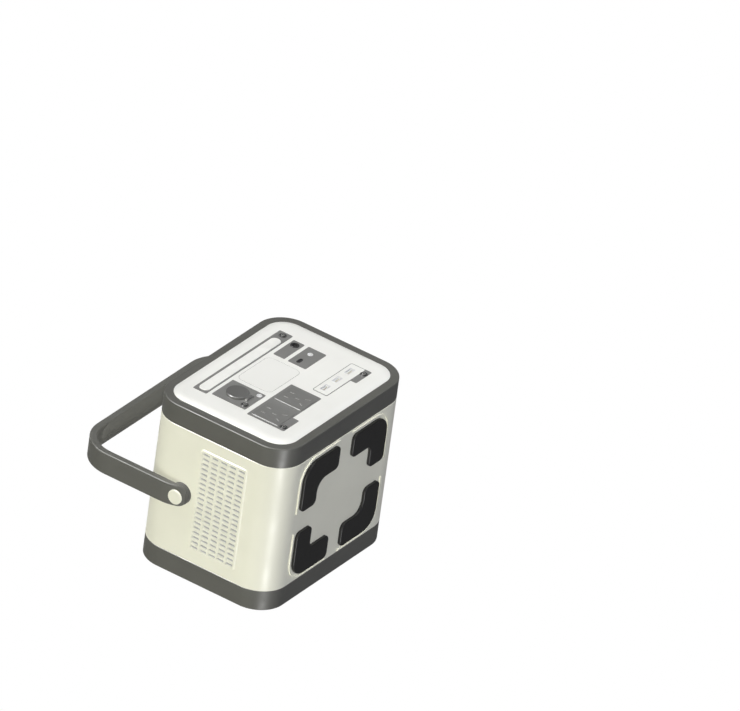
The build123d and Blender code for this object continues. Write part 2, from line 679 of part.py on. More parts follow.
# ---- Buttons -----------------------------------------------------------------------------------
def button(place, board_y, switch_height):
    """Round button: cap through the plate, shoulder behind it, stem that reaches to the switch."""
    front = INSERT_FRONT - BUTTON_PROUD
    stem_end = board_y - switch_height - BUTTON_TRAVEL - BUTTON_END_GAP
    cap = plate(Pos(*place) * Circle(BUTTON_R), INSERT_BACK, front)
    cap = fillet(at_y(cap, front), BUTTON_EDGE_R)
    shoulder = Pos(*place) * Circle(BUTTON_R + BUTTON_SHOULDER)
    cap += plate(shoulder, INSERT_BACK + BUTTON_SHOULDER_T, INSERT_BACK)
    return cap + plate(Pos(*place) * Circle(BUTTON_STEM_R), stem_end, INSERT_BACK + 0.5)


# ---- Sockets -----------------------------------------------------------------------------------
def dc_input_plate():
    return insert("dc") - through(Pos(*DC_JACK_AT) * Circle(DC_JACK_R + FIT))


def round_socket(place, radius, hole_r, pin_r, proud):
    """Round socket with a centre pin, seated on the control board."""
    front = INSERT_FRONT - proud
    body = plate(Pos(*place) * Circle(radius), CONTROL_Y, front)
    body = fillet(at_y(body, front), 0.3)
    body -= plate(Pos(*place) * (Circle(hole_r) - Circle(pin_r)), front + PORT_HOLE_DEPTH, front - 1)
    return body - plate(Pos(*place) * Circle(pin_r + 0.1), front + 1, front - 1)


def dc_input_jack():
    return round_socket(DC_JACK_AT, DC_JACK_R, DC_JACK_HOLE_R, DC_JACK_PIN_R, 0.8)


def port_plate():
    body = insert("port") - through(Pos(*BARREL_AT[0]) * Circle(BARREL_R + FIT))
    return body - through(usb_c_outline(FIT))


def usb_c_outline(grow=0):
    width, height = USB_C_SIZE
    return Pos(*USB_C_AT) * RectangleRounded(width + 2 * grow, height + 2 * grow, height / 2 - 0.05 + grow)


def usb_c_port():
    front = INSERT_FRONT - 0.3
    width, height = USB_C_HOLE
    body = plate(usb_c_outline(), CONTROL_Y, front)
    hole = Pos(*USB_C_AT) * (RectangleRounded(width, height, height / 2 - 0.05) - Rectangle(width - 2, 0.7))
    body -= plate(hole, front + PORT_HOLE_DEPTH, front - 1)
    return body - plate(Pos(*USB_C_AT) * Rectangle(width - 1.8, 0.8), front + 0.8, front - 1)


def barrel_outlets():
    return group(round_socket(place, BARREL_R, BARREL_HOLE_R, BARREL_PIN_R, 0.3) for place in BARREL_AT)


def hinge_ear_boxes():
    """Left and right side of each hinge ear along X, either side of the cap's tab."""
    inner = CAP_TAB_W / 2 + HINGE_SIDE_GAP
    return ((CAR_SOCKET_AT[0] - inner - HINGE_EAR_W, CAR_SOCKET_AT[0] - inner),
            (CAR_SOCKET_AT[0] + inner, CAR_SOCKET_AT[0] + inner + HINGE_EAR_W))


def hinge_bar(radius, x_from, x_to):
    """Cylinder on the cap's hinge axis."""
    plane = Plane((x_from, HINGE_Y, Z_MID + HINGE_Z), z_dir=(1, 0, 0))
    return extrude(plane * Circle(radius), amount=x_to - x_from)


def car_socket_plate():
    body = insert("car") - through(Pos(*CAR_SOCKET_AT) * Circle(CAR_BARREL_R + FIT))
    body -= button_hole(DC_BUTTON_AT)
    body -= through(Pos(*BARREL_AT[1]) * Circle(BARREL_R + FIT))
    for x_from, x_to in hinge_ear_boxes():
        ear = hinge_bar(HINGE_KNUCKLE_R, x_from, x_to)
        ear += plate(area((x_from, x_to, HINGE_Z - HINGE_KNUCKLE_R, HINGE_Z + HINGE_KNUCKLE_R), 0.1),
                     INSERT_FRONT + 1, HINGE_Y)
        body += ear - hinge_bar(HINGE_PIN_R + 0.02, x_from - 1, x_to + 1)
    return body


def car_socket_barrel():
    centre = Pos(*CAR_SOCKET_AT)
    end = INSERT_FRONT + CAR_BARREL_LENGTH
    body = plate(centre * Circle(CAR_BARREL_R), end, INSERT_FRONT)
    body += plate(centre * Circle(CAR_COLLAR_R), INSERT_BACK + 2.5, INSERT_BACK)
    bore_end = INSERT_FRONT + CAR_BORE_LENGTH
    well_end = bore_end + CAR_WELL_LENGTH
    body -= plate(centre * Circle(CAR_BORE_R), bore_end, INSERT_FRONT - 1)
    body -= plate(centre * Circle(CAR_WELL_R), well_end, bore_end)
    return body + plate(centre * Circle(CAR_CONTACT_R), well_end + 1, bore_end + 1)


def car_socket_cap():
    x, z = CAR_SOCKET_AT
    front = INSERT_FRONT - CAP_T
    disc = plate(Pos(x, z) * Circle(CAP_R), INSERT_FRONT, front)
    disc = fillet(at_y(disc, front), CAP_EDGE_R)
    half = CAP_TAB_W / 2
    tab_back = HINGE_Y + CAP_TAB_T / 2
    tab = plate(area((x - half, x + half, HINGE_Z, z - CAP_R + 3), 0.1), tab_back, tab_back - CAP_TAB_T)
    body = disc + tab + hinge_bar(HINGE_KNUCKLE_R, x - half, x + half)
    return body - hinge_bar(HINGE_PIN_R + HINGE_PIN_FIT, x - half - 1, x + half + 1)


def cap_hinge_pin():
    (x_from, _), (_, x_to) = hinge_ear_boxes()
    return hinge_bar(HINGE_PIN_R, x_from, x_to)


def display_window():
    return insert("display", 0.15)


def display_module():
    inner = grown(DISPLAY, -3)
    glass = plate(area(inner), CONTROL_Y, INSERT_BACK)
    return glass - plate(area(grown(inner, -3)), INSERT_BACK + 0.6, INSERT_BACK - 1)


def outlet_outline(place, grow=0):
    width, height = AC_OUTLET_SIZE
    return Pos(*place) * RectangleRounded(width + 2 * grow, height + 2 * grow, AC_OUTLET_R)


def ac_plate():
    body = insert("ac") - button_hole(AC_BUTTON_AT)
    for place in AC_OUTLETS_AT:
        body -= through(outlet_outline(place, FIT))
    return body


def ac_outlet(place):
    """Two straight slots above, an earth slot and two slanted slots below."""
    front = INSERT_FRONT - AC_OUTLET_PROUD
    body = plate(outlet_outline(place), front + AC_OUTLET_DEPTH, front)
    body = fillet(at_y(body, front), AC_OUTLET_PROUD * 0.7)
    body += plate(outlet_outline(place, INSERT_FLANGE), INSERT_BACK + 2, INSERT_BACK)
    slot = RectangleRounded(*AC_SLOT, 0.4)
    slots = Pos(0, EARTH_UP) * slot
    for side in (-1, 1):
        slots += Pos(side * TWO_PIN_SPREAD / 2, TWO_PIN_UP) * slot
        slots += Pos(side * LIVE_SPREAD / 2, LIVE_UP) * Rot(0, 0, side * LIVE_ANGLE) * slot
    return body - plate(Pos(*place) * slots, front + AC_SLOT_DEPTH, front - 1)


def usb_surround():
    body = insert("usb") - button_hole(USB_BUTTON_AT)
    return body - through(offset(area(USB_FACE, USB_FACE_R), FIT / 2))


def usb_port_outline(place, grow=0):
    width, height = USB_A_SIZE
    return Pos(*place) * RectangleRounded(width + 2 * grow, height + 2 * grow, 0.8)


def usb_face():
    """White face of the row of ports, seated from behind in its grey surround."""
    outline = area(USB_FACE, USB_FACE_R)
    body = plate(outline, INSERT_BACK, INSERT_FRONT)
    body += plate(offset(outline, INSERT_FLANGE), INSERT_BACK + 2, INSERT_BACK)
    for place in USB_A_AT:
        body -= plate(usb_port_outline(place, FIT), INSERT_BACK + 3, INSERT_FRONT - 1)
    shoulder = Pos(*USB_BUTTON_AT) * Circle(BUTTON_R + BUTTON_SHOULDER + FIT)
    return body - plate(shoulder, INSERT_BACK + 3, INSERT_BACK)


def usb_ports():
    ports = []
    front = INSERT_FRONT - 0.2
    for place in USB_A_AT:
        shell = plate(usb_port_outline(place), CONTROL_Y, front)
        mouth = Rectangle(*USB_A_HOLE) - Pos(0, 0.9) * Rectangle(*USB_A_TONGUE)
        shell -= plate(Pos(*place) * mouth, front + PORT_HOLE_DEPTH, front - 1)
        shell -= plate(Pos(*place) * Rectangle(*USB_A_HOLE), front + 1, front - 1)
        ports.append(shell)
    return group(ports)


# ---- Boards and screws ---------------------------------------------------------------------------
def control_board():
    """Board behind the front panel, cut round the mains outlets and the car socket."""
    outline = area(CONTROL_BOARD)
    for place in AC_OUTLETS_AT:
        outline -= outlet_outline(place, 1)
    outline -= Pos(*CAR_SOCKET_AT) * Circle(CAR_BARREL_R + 1)
    for place in CONTROL_POSTS:
        outline -= Pos(*place) * Circle(SCREW_R + SCREW_HOLE_FIT)
    body = plate(outline, CONTROL_Y + BOARD_T, CONTROL_Y)
    for place in (DC_BUTTON_AT, AC_BUTTON_AT, USB_BUTTON_AT):
        body += switch(place, CONTROL_Y, CONTROL_SWITCH_H)
    return body


def case_screws():
    """Eight rim screws, four tray screws and four control board screws, all alike."""
    screws = []
    for x, z in corners(BOSS_X, BOSS_Z):
        screws.append(Plane((x, -SLEEVE_END - LUG_T, Z_MID + z), z_dir=(0, 1, 0)) * screw())
        screws.append(Plane((x, SLEEVE_END + LUG_T, Z_MID + z), z_dir=(0, -1, 0)) * screw())
    for x, y in corners(*FOOT_SCREW):
        screws.append(Pos(x, y, CASE_BOTTOM + SCREW_HEAD_H) * screw())
    for x, z in CONTROL_POSTS:
        screws.append(Plane((x, CONTROL_Y + BOARD_T, Z_MID + z), z_dir=(0, -1, 0)) * screw())
    return group(screws)


# ---- Vents and fans -------------------------------------------------------------------------------
def pattern(size, pitch, border, item):
    """How many items fit in a length, with the given border at both ends."""
    return 1 + floor((size - 2 * border - item) / pitch)


def vent_slots():
    rows = pattern(VENT_SIZE[0], SLOT_PITCH[0], SLOT_BORDER[0], SLOT_SIZE[0])
    columns = pattern(VENT_SIZE[1], SLOT_PITCH[1], SLOT_BORDER[1], SLOT_SIZE[1])
    return [Pos(0, VENT_Z) * place for place in GridLocations(*SLOT_PITCH, rows, columns)]


def right_vent_grille():
    """Raised grille plate with a plug through the wall and snap hooks behind it."""
    cover = Pos(0, VENT_Z) * RectangleRounded(*VENT_SIZE, VENT_R)
    face = side_plate(cover, SIDE_X, SIDE_X + GRILLE_RISE)
    face = chamfer(at_x(face, SIDE_X + GRILLE_RISE), GRILLE_CHAMFER)
    body = face + side_plate(vent_opening(), GRILLE_BACK_X, SIDE_X)
    hook_x = SIDE_X - WALL - FIT / 2
    half_z = VENT_OPENING[1] / 2
    for y in (-VENT_HALF_Y / 2, VENT_HALF_Y / 2):
        hook = Pos(y, VENT_Z) * Rectangle(HOOK_LENGTH, 2 * half_z + 2 * HOOK_GRIP)
        body += side_plate(hook, hook_x - HOOK_T, hook_x)
    slots = Sketch() + [place * RectangleRounded(*SLOT_SIZE, SLOT_R) for place in vent_slots()]
    return body - side_plate(slots, GRILLE_BACK_X - 1, SIDE_X + GRILLE_RISE + 1)


def dust_screen():
    """Perforated sheet clipped behind the grille."""
    size_y, size_z = VENT_OPENING
    sheet = Pos(0, VENT_Z) * RectangleRounded(size_y, size_z, VENT_R - GRILLE_COVER)
    rows = pattern(size_y, SCREEN_PITCH, SCREEN_FRAME, SCREEN_HOLE)
    columns = pattern(size_z, SCREEN_PITCH, SCREEN_FRAME, SCREEN_HOLE)
    holes = [Pos(0, VENT_Z) * place * Rectangle(SCREEN_HOLE, SCREEN_HOLE)
             for place in GridLocations(SCREEN_PITCH, SCREEN_PITCH, rows, columns)]
    return side_plate(sheet - holes, SCREEN_BACK_X, GRILLE_BACK_X)


def fan_places():
    return [Plane((SCREEN_BACK_X, side * FAN_SPACING / 2, VENT_Z), x_dir=(0, 1, 0), z_dir=(1, 0, 0))
            for side in (-1, 1)]


def up(shape_or_height, height=None):
    return Pos(0, 0, shape_or_height) if height is None else Pos(0, 0, height) * shape_or_height


def fan_frame():
    """Frame with duct, four struts and a bearing bush; its outer face is at z=0, its back at -FAN_T."""
    block = extrude(RectangleRounded(FAN_SIZE, FAN_SIZE, FAN_CORNER_R), amount=-FAN_T)
    block -= extrude(Circle(FAN_DUCT_R), amount=-FAN_T)
    for x, y in corners(FAN_HOLE_PITCH / 2, FAN_HOLE_PITCH / 2):
        block -= Pos(x, y) * extrude(Circle(FAN_HOLE_R), amount=-FAN_T)
    mount = extrude(Circle(FAN_HUB_R), amount=FAN_MOUNT_T)
    mount += Rot(0, 0, 45) * extrude(Rectangle(2 * FAN_DUCT_R + 2, FAN_STRUT_W), amount=FAN_MOUNT_T)
    mount += Rot(0, 0, -45) * extrude(Rectangle(2 * FAN_DUCT_R + 2, FAN_STRUT_W), amount=FAN_MOUNT_T)
    bush_r = FAN_SHAFT_R + FAN_SHAFT_FIT
    mount += extrude(Circle(bush_r + FAN_BUSH_WALL), amount=FAN_T - FAN_HUB_WALL - 2 * FAN_AXIAL_GAP)
    mount -= extrude(Circle(bush_r), amount=FAN_T)
    return block + up(-FAN_T) * mount


def fan_frames():
    return group(plane * fan_frame() for plane in fan_places())


def fan_rotor(plane):
    """Hub cup over the bush, seven pitched blades and the shaft."""
    front = -FAN_AXIAL_GAP
    back = -FAN_T + FAN_MOUNT_T + FAN_AXIAL_GAP
    length = front - back
    hub = up(back) * extrude(Circle(FAN_HUB_R), amount=length)
    hub -= up(back) * extrude(Circle(FAN_HUB_R - FAN_HUB_WALL), amount=length - FAN_HUB_WALL)
    hub += up(back - FAN_AXIAL_GAP) * extrude(Circle(FAN_SHAFT_R), amount=length + FAN_AXIAL_GAP)
    tip_r = FAN_DUCT_R - FAN_TIP_GAP
    ring = up(back) * extrude(Circle(tip_r) - Circle(FAN_HUB_R - FAN_HUB_WALL / 2), amount=length)
    blade = Pos((tip_r + FAN_HUB_R) / 2, 0, (front + back) / 2) * Rot(FAN_BLADE_ANGLE, 0, 0) * Box(
        tip_r - FAN_HUB_R + 6, FAN_BLADE_CHORD, FAN_BLADE_T)
    blade = blade & ring
    for index in range(FAN_BLADES):
        hub += Rot(0, 0, index * 360 / FAN_BLADES) * blade
    return plane * hub


# ---- Right inlay and mains inlet ------------------------------------------------------------------
def inlet_plate_outline(grow=0):
    width, height = INLET_PLATE
    return Pos(INLET_Y, INLET_PLATE_Z) * RectangleRounded(width + 2 * grow, height + 2 * grow, INSERT_R)


def right_inlay_panel():
    outline = Pos(0, (INLAY_TOP + INLAY_BOTTOM) / 2) * Rectangle(2 * SLEEVE_END, INLAY_TOP - INLAY_BOTTOM)
    outline -= vent_opening(FIT)
    outline -= inlet_plate_outline(FIT)
    outline -= Pos(0, PIVOT_Z) * Circle(BOLT_R + BOLT_HOLE_FIT)
    return side_plate(outline, SIDE_X - INLAY_T, SIDE_X)


def inlet_plate():
    outline = inlet_plate_outline() - inlet_outline(FIT)
    return side_plate(outline, SIDE_X - INLAY_T, INLET_FRONT_X)


def inlet_pins_at():
    """Earth pin in the middle, higher than the other two."""
    low = INLET_Z - INLET_PIN_STEP / 2
    half = INLET_PIN_SPREAD / 2
    return ((INLET_Y, low + INLET_PIN_STEP), (INLET_Y - half, low), (INLET_Y + half, low))


def ac_inlet():
    """Socket housing; its cavity has two cut corners so that the plug fits one way up."""
    body = side_plate(inlet_outline(), INLET_FRONT_X - INLET_DEPTH, INLET_FRONT_X)
    width, height = INLET_CAVITY
    cavity = Rectangle(width, height)
    cavity = chamfer(cavity.vertices().group_by(Axis.Y)[-1], 4)
    body -= side_plate(Pos(INLET_Y, INLET_Z) * cavity, INLET_FRONT_X - INLET_CAVITY_DEPTH, INLET_FRONT_X + 1)
    for y, z in inlet_pins_at():
        hole = Pos(y, z) * Rectangle(INLET_PIN[0] + 0.1, INLET_PIN[1] + 0.1)
        body -= side_plate(hole, INLET_FRONT_X - INLET_DEPTH - 1, INLET_FRONT_X)
    return body


def inlet_pins():
    back = INLET_FRONT_X - INLET_DEPTH - INLET_PIN_TAIL
    front = INLET_FRONT_X - INLET_CAVITY_DEPTH + INLET_PIN_LENGTH
    pins = []
    for y, z in inlet_pins_at():
        pin = side_plate(Pos(y, z) * Rectangle(*INLET_PIN), back, front)
        pins.append(chamfer(at_x(pin, front), 0.5))
    return group(pins)


# ---- Handle ----------------------------------------------------------------------------------------
def carry_handle():
    """U-shaped bail: flat band, round arm ends, domed grip inside the bar, recesses for the caps."""
    outline = Pos(0, (BAR_TOP + PIVOT_Z - HANDLE_BAND) / 2) * RectangleRounded(
        2 * ARM_OUT_X, BAR_TOP - PIVOT_Z + HANDLE_BAND, HANDLE_CORNER_R)
    hollow = Pos(0, (BAR_BOTTOM + PIVOT_Z - HANDLE_BAND) / 2 - HANDLE_CORNER_R / 2) * RectangleRounded(
        2 * ARM_IN_X, BAR_BOTTOM - PIVOT_Z + HANDLE_BAND + HANDLE_CORNER_R, HANDLE_CORNER_R - HANDLE_T)
    view = Plane((0, HANDLE_BAND / 2, 0), x_dir=(1, 0, 0), z_dir=(0, -1, 0))
    band = extrude(view * (outline - hollow), amount=HANDLE_BAND)
    half = HANDLE_BAND / 2
    side_view = Pos(0, (BAR_TOP + PIVOT_Z) / 2) * Rectangle(HANDLE_BAND, BAR_TOP - PIVOT_Z)
    side_view += Pos(0, PIVOT_Z) * Circle(half)
    band = band & side_plate(side_view, -ARM_OUT_X, ARM_OUT_X)
    rims = [edge for edge in band.edges() if edge.length > 1 and abs(abs((edge @ 0.5).Y) - half) < 0.01]
    ends = [edge for edge in band.edges().filter_by(GeomType.CIRCLE)
            if (edge @ 0.5).Z < PIVOT_Z and abs((edge @ 0.5).Y) < 1]
    band = fillet(rims + ends, HANDLE_EDGE_R)

    chord = half - GRIP_MARGIN
    radius = (chord ** 2 + GRIP_BULGE ** 2) / (2 * GRIP_BULGE)
    reach = ARM_IN_X - (HANDLE_CORNER_R - HANDLE_T)
    axis_z = BAR_BOTTOM - GRIP_BULGE + radius
    round_bar = extrude(Circle(radius), amount=2 * (reach - chord))
    capsule = Plane((-reach + chord, 0, axis_z), z_dir=(1, 0, 0)) * round_bar
    for side in (-1, 1):
        capsule += Pos(side * (reach - chord), 0, axis_z) * Sphere(radius)
    below = Pos(0, 0, BAR_BOTTOM + 1) * Box(
        2 * reach, HANDLE_BAND, 2 * GRIP_BULGE, align=(Align.CENTER, Align.CENTER, Align.MAX))
    band += capsule & below

    cuts = bolt_hole(ARM_IN_X - 1, ARM_OUT_X, BOLT_R + BOLT_FIT)
    cuts += bolt_hole(BOLT_SEAT_X, ARM_OUT_X, BOLT_HEAD_R + BOLT_HEAD_FIT)
    cuts += bolt_hole(CAP_SEAT_X, ARM_OUT_X + 1, PIVOT_CAP_R + FIT)
    return band - cuts - mirrored_x(cuts)


def pivot_bolt():
    head = bolt_hole(BOLT_SEAT_X, BOLT_SEAT_X + BOLT_HEAD_H, BOLT_HEAD_R)
    head = chamfer(at_x(head, BOLT_SEAT_X + BOLT_HEAD_H), 0.5)
    socket_outline = Pos(0, PIVOT_Z) * RegularPolygon(BOLT_SOCKET_R, 6)
    socket = side_plate(socket_outline, BOLT_SEAT_X + BOLT_SOCKET_FLOOR, BOLT_SEAT_X + BOLT_HEAD_H + 1)
    return head + bolt_hole(NUT_X - NUT_H - 1, BOLT_SEAT_X, BOLT_R) - socket


def pivot_nut():
    outline = Pos(0, PIVOT_Z) * RegularPolygon(NUT_ACROSS_FLATS / 2, 6, major_radius=False)
    nut = side_plate(outline, NUT_X - NUT_H, NUT_X)
    return nut - bolt_hole(NUT_X - NUT_H - 1, NUT_X + 1, BOLT_R + BOLT_FIT)


def pivot_spacer():
    ring = bolt_hole(SIDE_X, ARM_IN_X, SPACER_R)
    return ring - bolt_hole(SIDE_X - 1, ARM_IN_X + 1, BOLT_R + BOLT_HOLE_FIT)


def pivot_cap():
    cap = bolt_hole(CAP_SEAT_X, CAP_SEAT_X + PIVOT_CAP_T, PIVOT_CAP_R)
    return fillet(at_x(cap, CAP_SEAT_X + PIVOT_CAP_T), 0.7)


def both_sides(shape):
    return group([shape, mirrored_x(shape)])


# ---- Battery pack ------------------------------------------------------------------------------------
def cell_places():
    grid = GridLocations(CELL_PITCH, CELL_PITCH, CELL_COLUMNS, CELL_ROWS)
    return [Pos(0, PACK_Y) * place for place in grid]


def post_places():
    """Gaps between four cells, where the inverter's posts stand."""
    half_x = (CELL_COLUMNS / 2 - 1) * CELL_PITCH
    half_y = (CELL_ROWS / 2 - 1) * CELL_PITCH
    return [(x, PACK_Y + y) for x, y in corners(half_x, half_y)]


def battery_tray():
    half_x = PACK_SIZE[0] / 2 + TRAY_BORDER
    front = -FOOT_SCREW[1] - TRAY_SCREW_MARGIN
    rear = PACK_Y + PACK_SIZE[1] / 2 + TRAY_BORDER
    outline = Pos(0, (front + rear) / 2) * RectangleRounded(2 * half_x, rear - front, 4)
    body = extrude(Pos(0, 0, TRAY_Z) * outline, amount=TRAY_T)
    for x, y in corners(*FOOT_SCREW):
        body += Pos(x, y, FLOOR_PAD_Z) * Cylinder(BOSS_R, TRAY_BOSS_H + 1, align=ON_BASE)
        body -= Pos(x, y, FLOOR_PAD_Z - 1) * Cylinder(
            SCREW_R + SCREW_FIT, TRAY_BOSS_H + TRAY_T, align=ON_BASE)
    return body


def battery_cells():
    cells = []
    for place in cell_places():
        can = extrude(Circle(CELL_R), amount=CELL_LENGTH)
        can = fillet(can.edges(), 0.6)
        button = extrude(Circle(CELL_BUTTON_R), amount=CELL_LENGTH + HOLDER_SKIN)
        cells.append(Pos(0, 0, CELL_Z) * place * (can + button))
    return group(cells)


def cell_holders():
    """Lower and upper frame that the cells stand in; the upper one carries the inverter's posts."""
    outline = Pos(0, PACK_Y) * RectangleRounded(*PACK_SIZE, 2)
    pockets = Sketch() + [place * Circle(CELL_R + CELL_FIT) for place in cell_places()]
    windows = Sketch() + [place * Circle(CELL_BUTTON_R + 1) for place in cell_places()]
    lower = extrude(Pos(0, 0, TRAY_TOP) * outline, amount=HOLDER_T)
    lower -= extrude(Pos(0, 0, CELL_Z) * pockets, amount=HOLDER_T)
    upper = extrude(Pos(0, 0, HOLDER_TOP - HOLDER_T) * outline, amount=HOLDER_T)
    upper -= extrude(Pos(0, 0, HOLDER_TOP - HOLDER_T) * pockets, amount=HOLDER_T - HOLDER_SKIN)
    upper -= extrude(Pos(0, 0, CELL_TOP) * windows, amount=HOLDER_SKIN)
    for x, y in post_places():
        upper += Pos(x, y, CELL_TOP) * Cylinder(
            INVERTER_POST_R, HOLDER_SKIN + INVERTER_POST_H, align=ON_BASE)
    return group([lower, upper])


def bus_bars():
    """Sheet metal bars that join the cells' terminals, two rows to a bar."""
    bars = []
    first_row = PACK_Y - (CELL_ROWS - 1) * CELL_PITCH / 2
    for row in range(0, CELL_ROWS, 2):
        last = min(row + 1, CELL_ROWS - 1)
        y_from = first_row + row * CELL_PITCH - CELL_PITCH / 2 + BUS_MARGIN
        y_to = first_row + last * CELL_PITCH + CELL_PITCH / 2 - BUS_MARGIN
        bar = RectangleRounded(PACK_SIZE[0] - 2 * BUS_MARGIN, y_to - y_from, 3)
        outline = Pos(0, (y_from + y_to) / 2) * bar
        for x, y in post_places():
            outline -= Pos(x, y) * Circle(INVERTER_POST_R + 1)
        bars.append(extrude(Pos(0, 0, HOLDER_TOP) * outline, amount=BUS_T))
    return group(bars)


def bms_board():
    """Battery management board on the front of the cell holders."""
    width, height = BMS_BOARD
    outline = Pos(0, TRAY_TOP + BMS_UP + height / 2 - Z_MID) * Rectangle(width, height)
    body = plate(outline, PACK_FRONT_Y, PACK_FRONT_Y - BOARD_T)
    chip_w, chip_h, chip_t = BMS_CHIP
    for index in range(BMS_CHIPS):
        x = width * ((index + 0.5) / BMS_CHIPS - 0.5)
        chip = Pos(x, TRAY_TOP + BMS_UP + height - chip_h - Z_MID) * Rectangle(chip_w, chip_h)
        body += plate(chip, PACK_FRONT_Y - BOARD_T / 2, PACK_FRONT_Y - BOARD_T - chip_t)
    return body


# ---- Inverter ------------------------------------------------------------------------------------------
def inverter_board():
    outline = Pos(0, PACK_Y) * RectangleRounded(*PACK_SIZE, 2)
    return extrude(Pos(0, 0, INVERTER_Z) * outline, amount=BOARD_T)


def inverter_heatsink():
    """Finned block along the board's right edge, in the fans' air stream."""
    size_x, size_y, size_z = HEATSINK
    x_mid = PACK_SIZE[0] / 2 - size_x / 2
    base = (Align.CENTER, Align.CENTER, Align.MIN)
    body = Pos(x_mid, PACK_Y, INVERTER_TOP) * Box(size_x, size_y, HEATSINK_BASE, align=base)
    step = (size_x - HEATSINK_FIN_T) / (HEATSINK_FINS - 1)
    for index in range(HEATSINK_FINS):
        x = x_mid - size_x / 2 + HEATSINK_FIN_T / 2 + index * step
        body += Pos(x, PACK_Y, INVERTER_TOP) * Box(HEATSINK_FIN_T, size_y, size_z, align=base)
    return body


def transformer_x():
    return -PACK_SIZE[0] / 2 + TRANSFORMER_R


def inverter_transformer():
    """Toroidal transformer lying on the board."""
    ring = extrude(Circle(TRANSFORMER_R) - Circle(TRANSFORMER_HOLE_R), amount=TRANSFORMER_H)
    ring = fillet(ring.edges().filter_by(GeomType.CIRCLE), TRANSFORMER_EDGE_R)
    return Pos(transformer_x(), PACK_Y - PACK_SIZE[1] / 2 + TRANSFORMER_R, INVERTER_TOP) * ring


def inverter_capacitors():
    """Row of capacitors along the board's rear edge."""
    can = extrude(Circle(CAPACITOR_R), amount=CAPACITOR_H)
    can = fillet(can.edges().group_by(Axis.Z)[-1], 1)
    x_first = -PACK_SIZE[0] / 2 + CAPACITOR_R + 1
    y = PACK_Y + PACK_SIZE[1] / 2 - CAPACITOR_R - 1
    return group(Pos(x_first + index * CAPACITOR_PITCH, y, INVERTER_TOP) * can for index in range(CAPACITORS))


# ---- Nodes --------------------------------------------------------------------------------------------
def rear_of(shape):
    """The same piece turned to the rear."""
    return Rot(0, 0, 180) * shape


nodes = {
    "body_sleeve": body_sleeve(),
    "front_rim": rim(),
    "rear_rim": rear_of(rim()),
    "front_panel": front_panel(),
    "rear_cover": rear_of(face_panel()),
    "case_screws": case_screws(),
    "right_vent_grille": right_vent_grille(),
    "right_dust_screen": dust_screen(),
    "right_inlay_panel": right_inlay_panel(),
    "inlet_plate": inlet_plate(),
    "ac_inlet": ac_inlet(),
    "inlet_pins": inlet_pins(),
    "carry_handle": carry_handle(),
    "pivot_bolts": both_sides(pivot_bolt()),
    "pivot_nuts": both_sides(pivot_nut()),
    "pivot_spacers": both_sides(pivot_spacer()),
    "pivot_caps": both_sides(pivot_cap()),
    "lamp_bezel": lamp_bezel(),
    "lamp_diffuser": lamp_diffuser(),
    "lamp_led_board": lamp_led_board(),
    "dc_input_plate": dc_input_plate(),
    "dc_input_jack": dc_input_jack(),
    "port_plate": port_plate(),
    "usb_c_port": usb_c_port(),
    "barrel_outlets": barrel_outlets(),
    "car_socket_plate": car_socket_plate(),
    "car_socket_barrel": car_socket_barrel(),
    "car_socket_cap": car_socket_cap(),
    "cap_hinge_pin": cap_hinge_pin(),
    "display_window": display_window(),
    "display_module": display_module(),
    "ac_plate": ac_plate(),
    "ac_outlet_left": ac_outlet(AC_OUTLETS_AT[0]),
    "ac_outlet_right": ac_outlet(AC_OUTLETS_AT[1]),
    "usb_surround": usb_surround(),
    "usb_face": usb_face(),
    "usb_ports": usb_ports(),
    "lamp_button": button(LAMP_BUTTON_AT, LAMP_Y, LAMP_SWITCH_H),
    "dc_button": button(DC_BUTTON_AT, CONTROL_Y, CONTROL_SWITCH_H),
    "ac_button": button(AC_BUTTON_AT, CONTROL_Y, CONTROL_SWITCH_H),
    "usb_button": button(USB_BUTTON_AT, CONTROL_Y, CONTROL_SWITCH_H),
    "control_board": control_board(),
    "battery_tray": battery_tray(),
    "battery_cells": battery_cells(),
    "cell_holders": cell_holders(),
    "bus_bars": bus_bars(),
    "bms_board": bms_board(),
    "inverter_board": inverter_board(),
    "inverter_heatsink": inverter_heatsink(),
    "inverter_transformer": inverter_transformer(),
    "inverter_capacitors": inverter_capacitors(),
    "fan_frames": fan_frames(),
    "fan_rotor_front": fan_rotor(fan_places()[0]),
    "fan_rotor_rear": fan_rotor(fan_places()[1]),
}
nodes["left_vent_grille"] = mirrored_x(nodes["right_vent_grille"])
nodes["left_dust_screen"] = mirrored_x(nodes["right_dust_screen"])
for name, (side_x, side_y, foot_radii) in FEET.items():
    nodes[name] = foot(side_x, side_y, foot_radii)

os.makedirs("parts", exist_ok=True)
for name, shape in nodes.items():
    export_step(shape, f"parts/{name}.step")
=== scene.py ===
import math

import bmesh
import bpy
from mathutils import Matrix, Vector


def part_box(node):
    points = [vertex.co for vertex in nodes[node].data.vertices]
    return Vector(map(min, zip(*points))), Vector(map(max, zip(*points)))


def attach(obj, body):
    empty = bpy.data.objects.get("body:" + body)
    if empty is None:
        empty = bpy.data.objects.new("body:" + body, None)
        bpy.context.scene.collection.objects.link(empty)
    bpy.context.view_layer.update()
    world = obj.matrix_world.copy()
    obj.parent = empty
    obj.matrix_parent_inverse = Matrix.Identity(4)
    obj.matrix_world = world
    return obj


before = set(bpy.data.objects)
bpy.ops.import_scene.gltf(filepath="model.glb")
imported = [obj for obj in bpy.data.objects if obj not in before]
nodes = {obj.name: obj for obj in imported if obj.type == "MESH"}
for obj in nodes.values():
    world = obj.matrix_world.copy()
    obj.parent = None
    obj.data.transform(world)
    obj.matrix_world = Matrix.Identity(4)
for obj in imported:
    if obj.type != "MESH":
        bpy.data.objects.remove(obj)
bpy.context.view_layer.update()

MM = 0.001

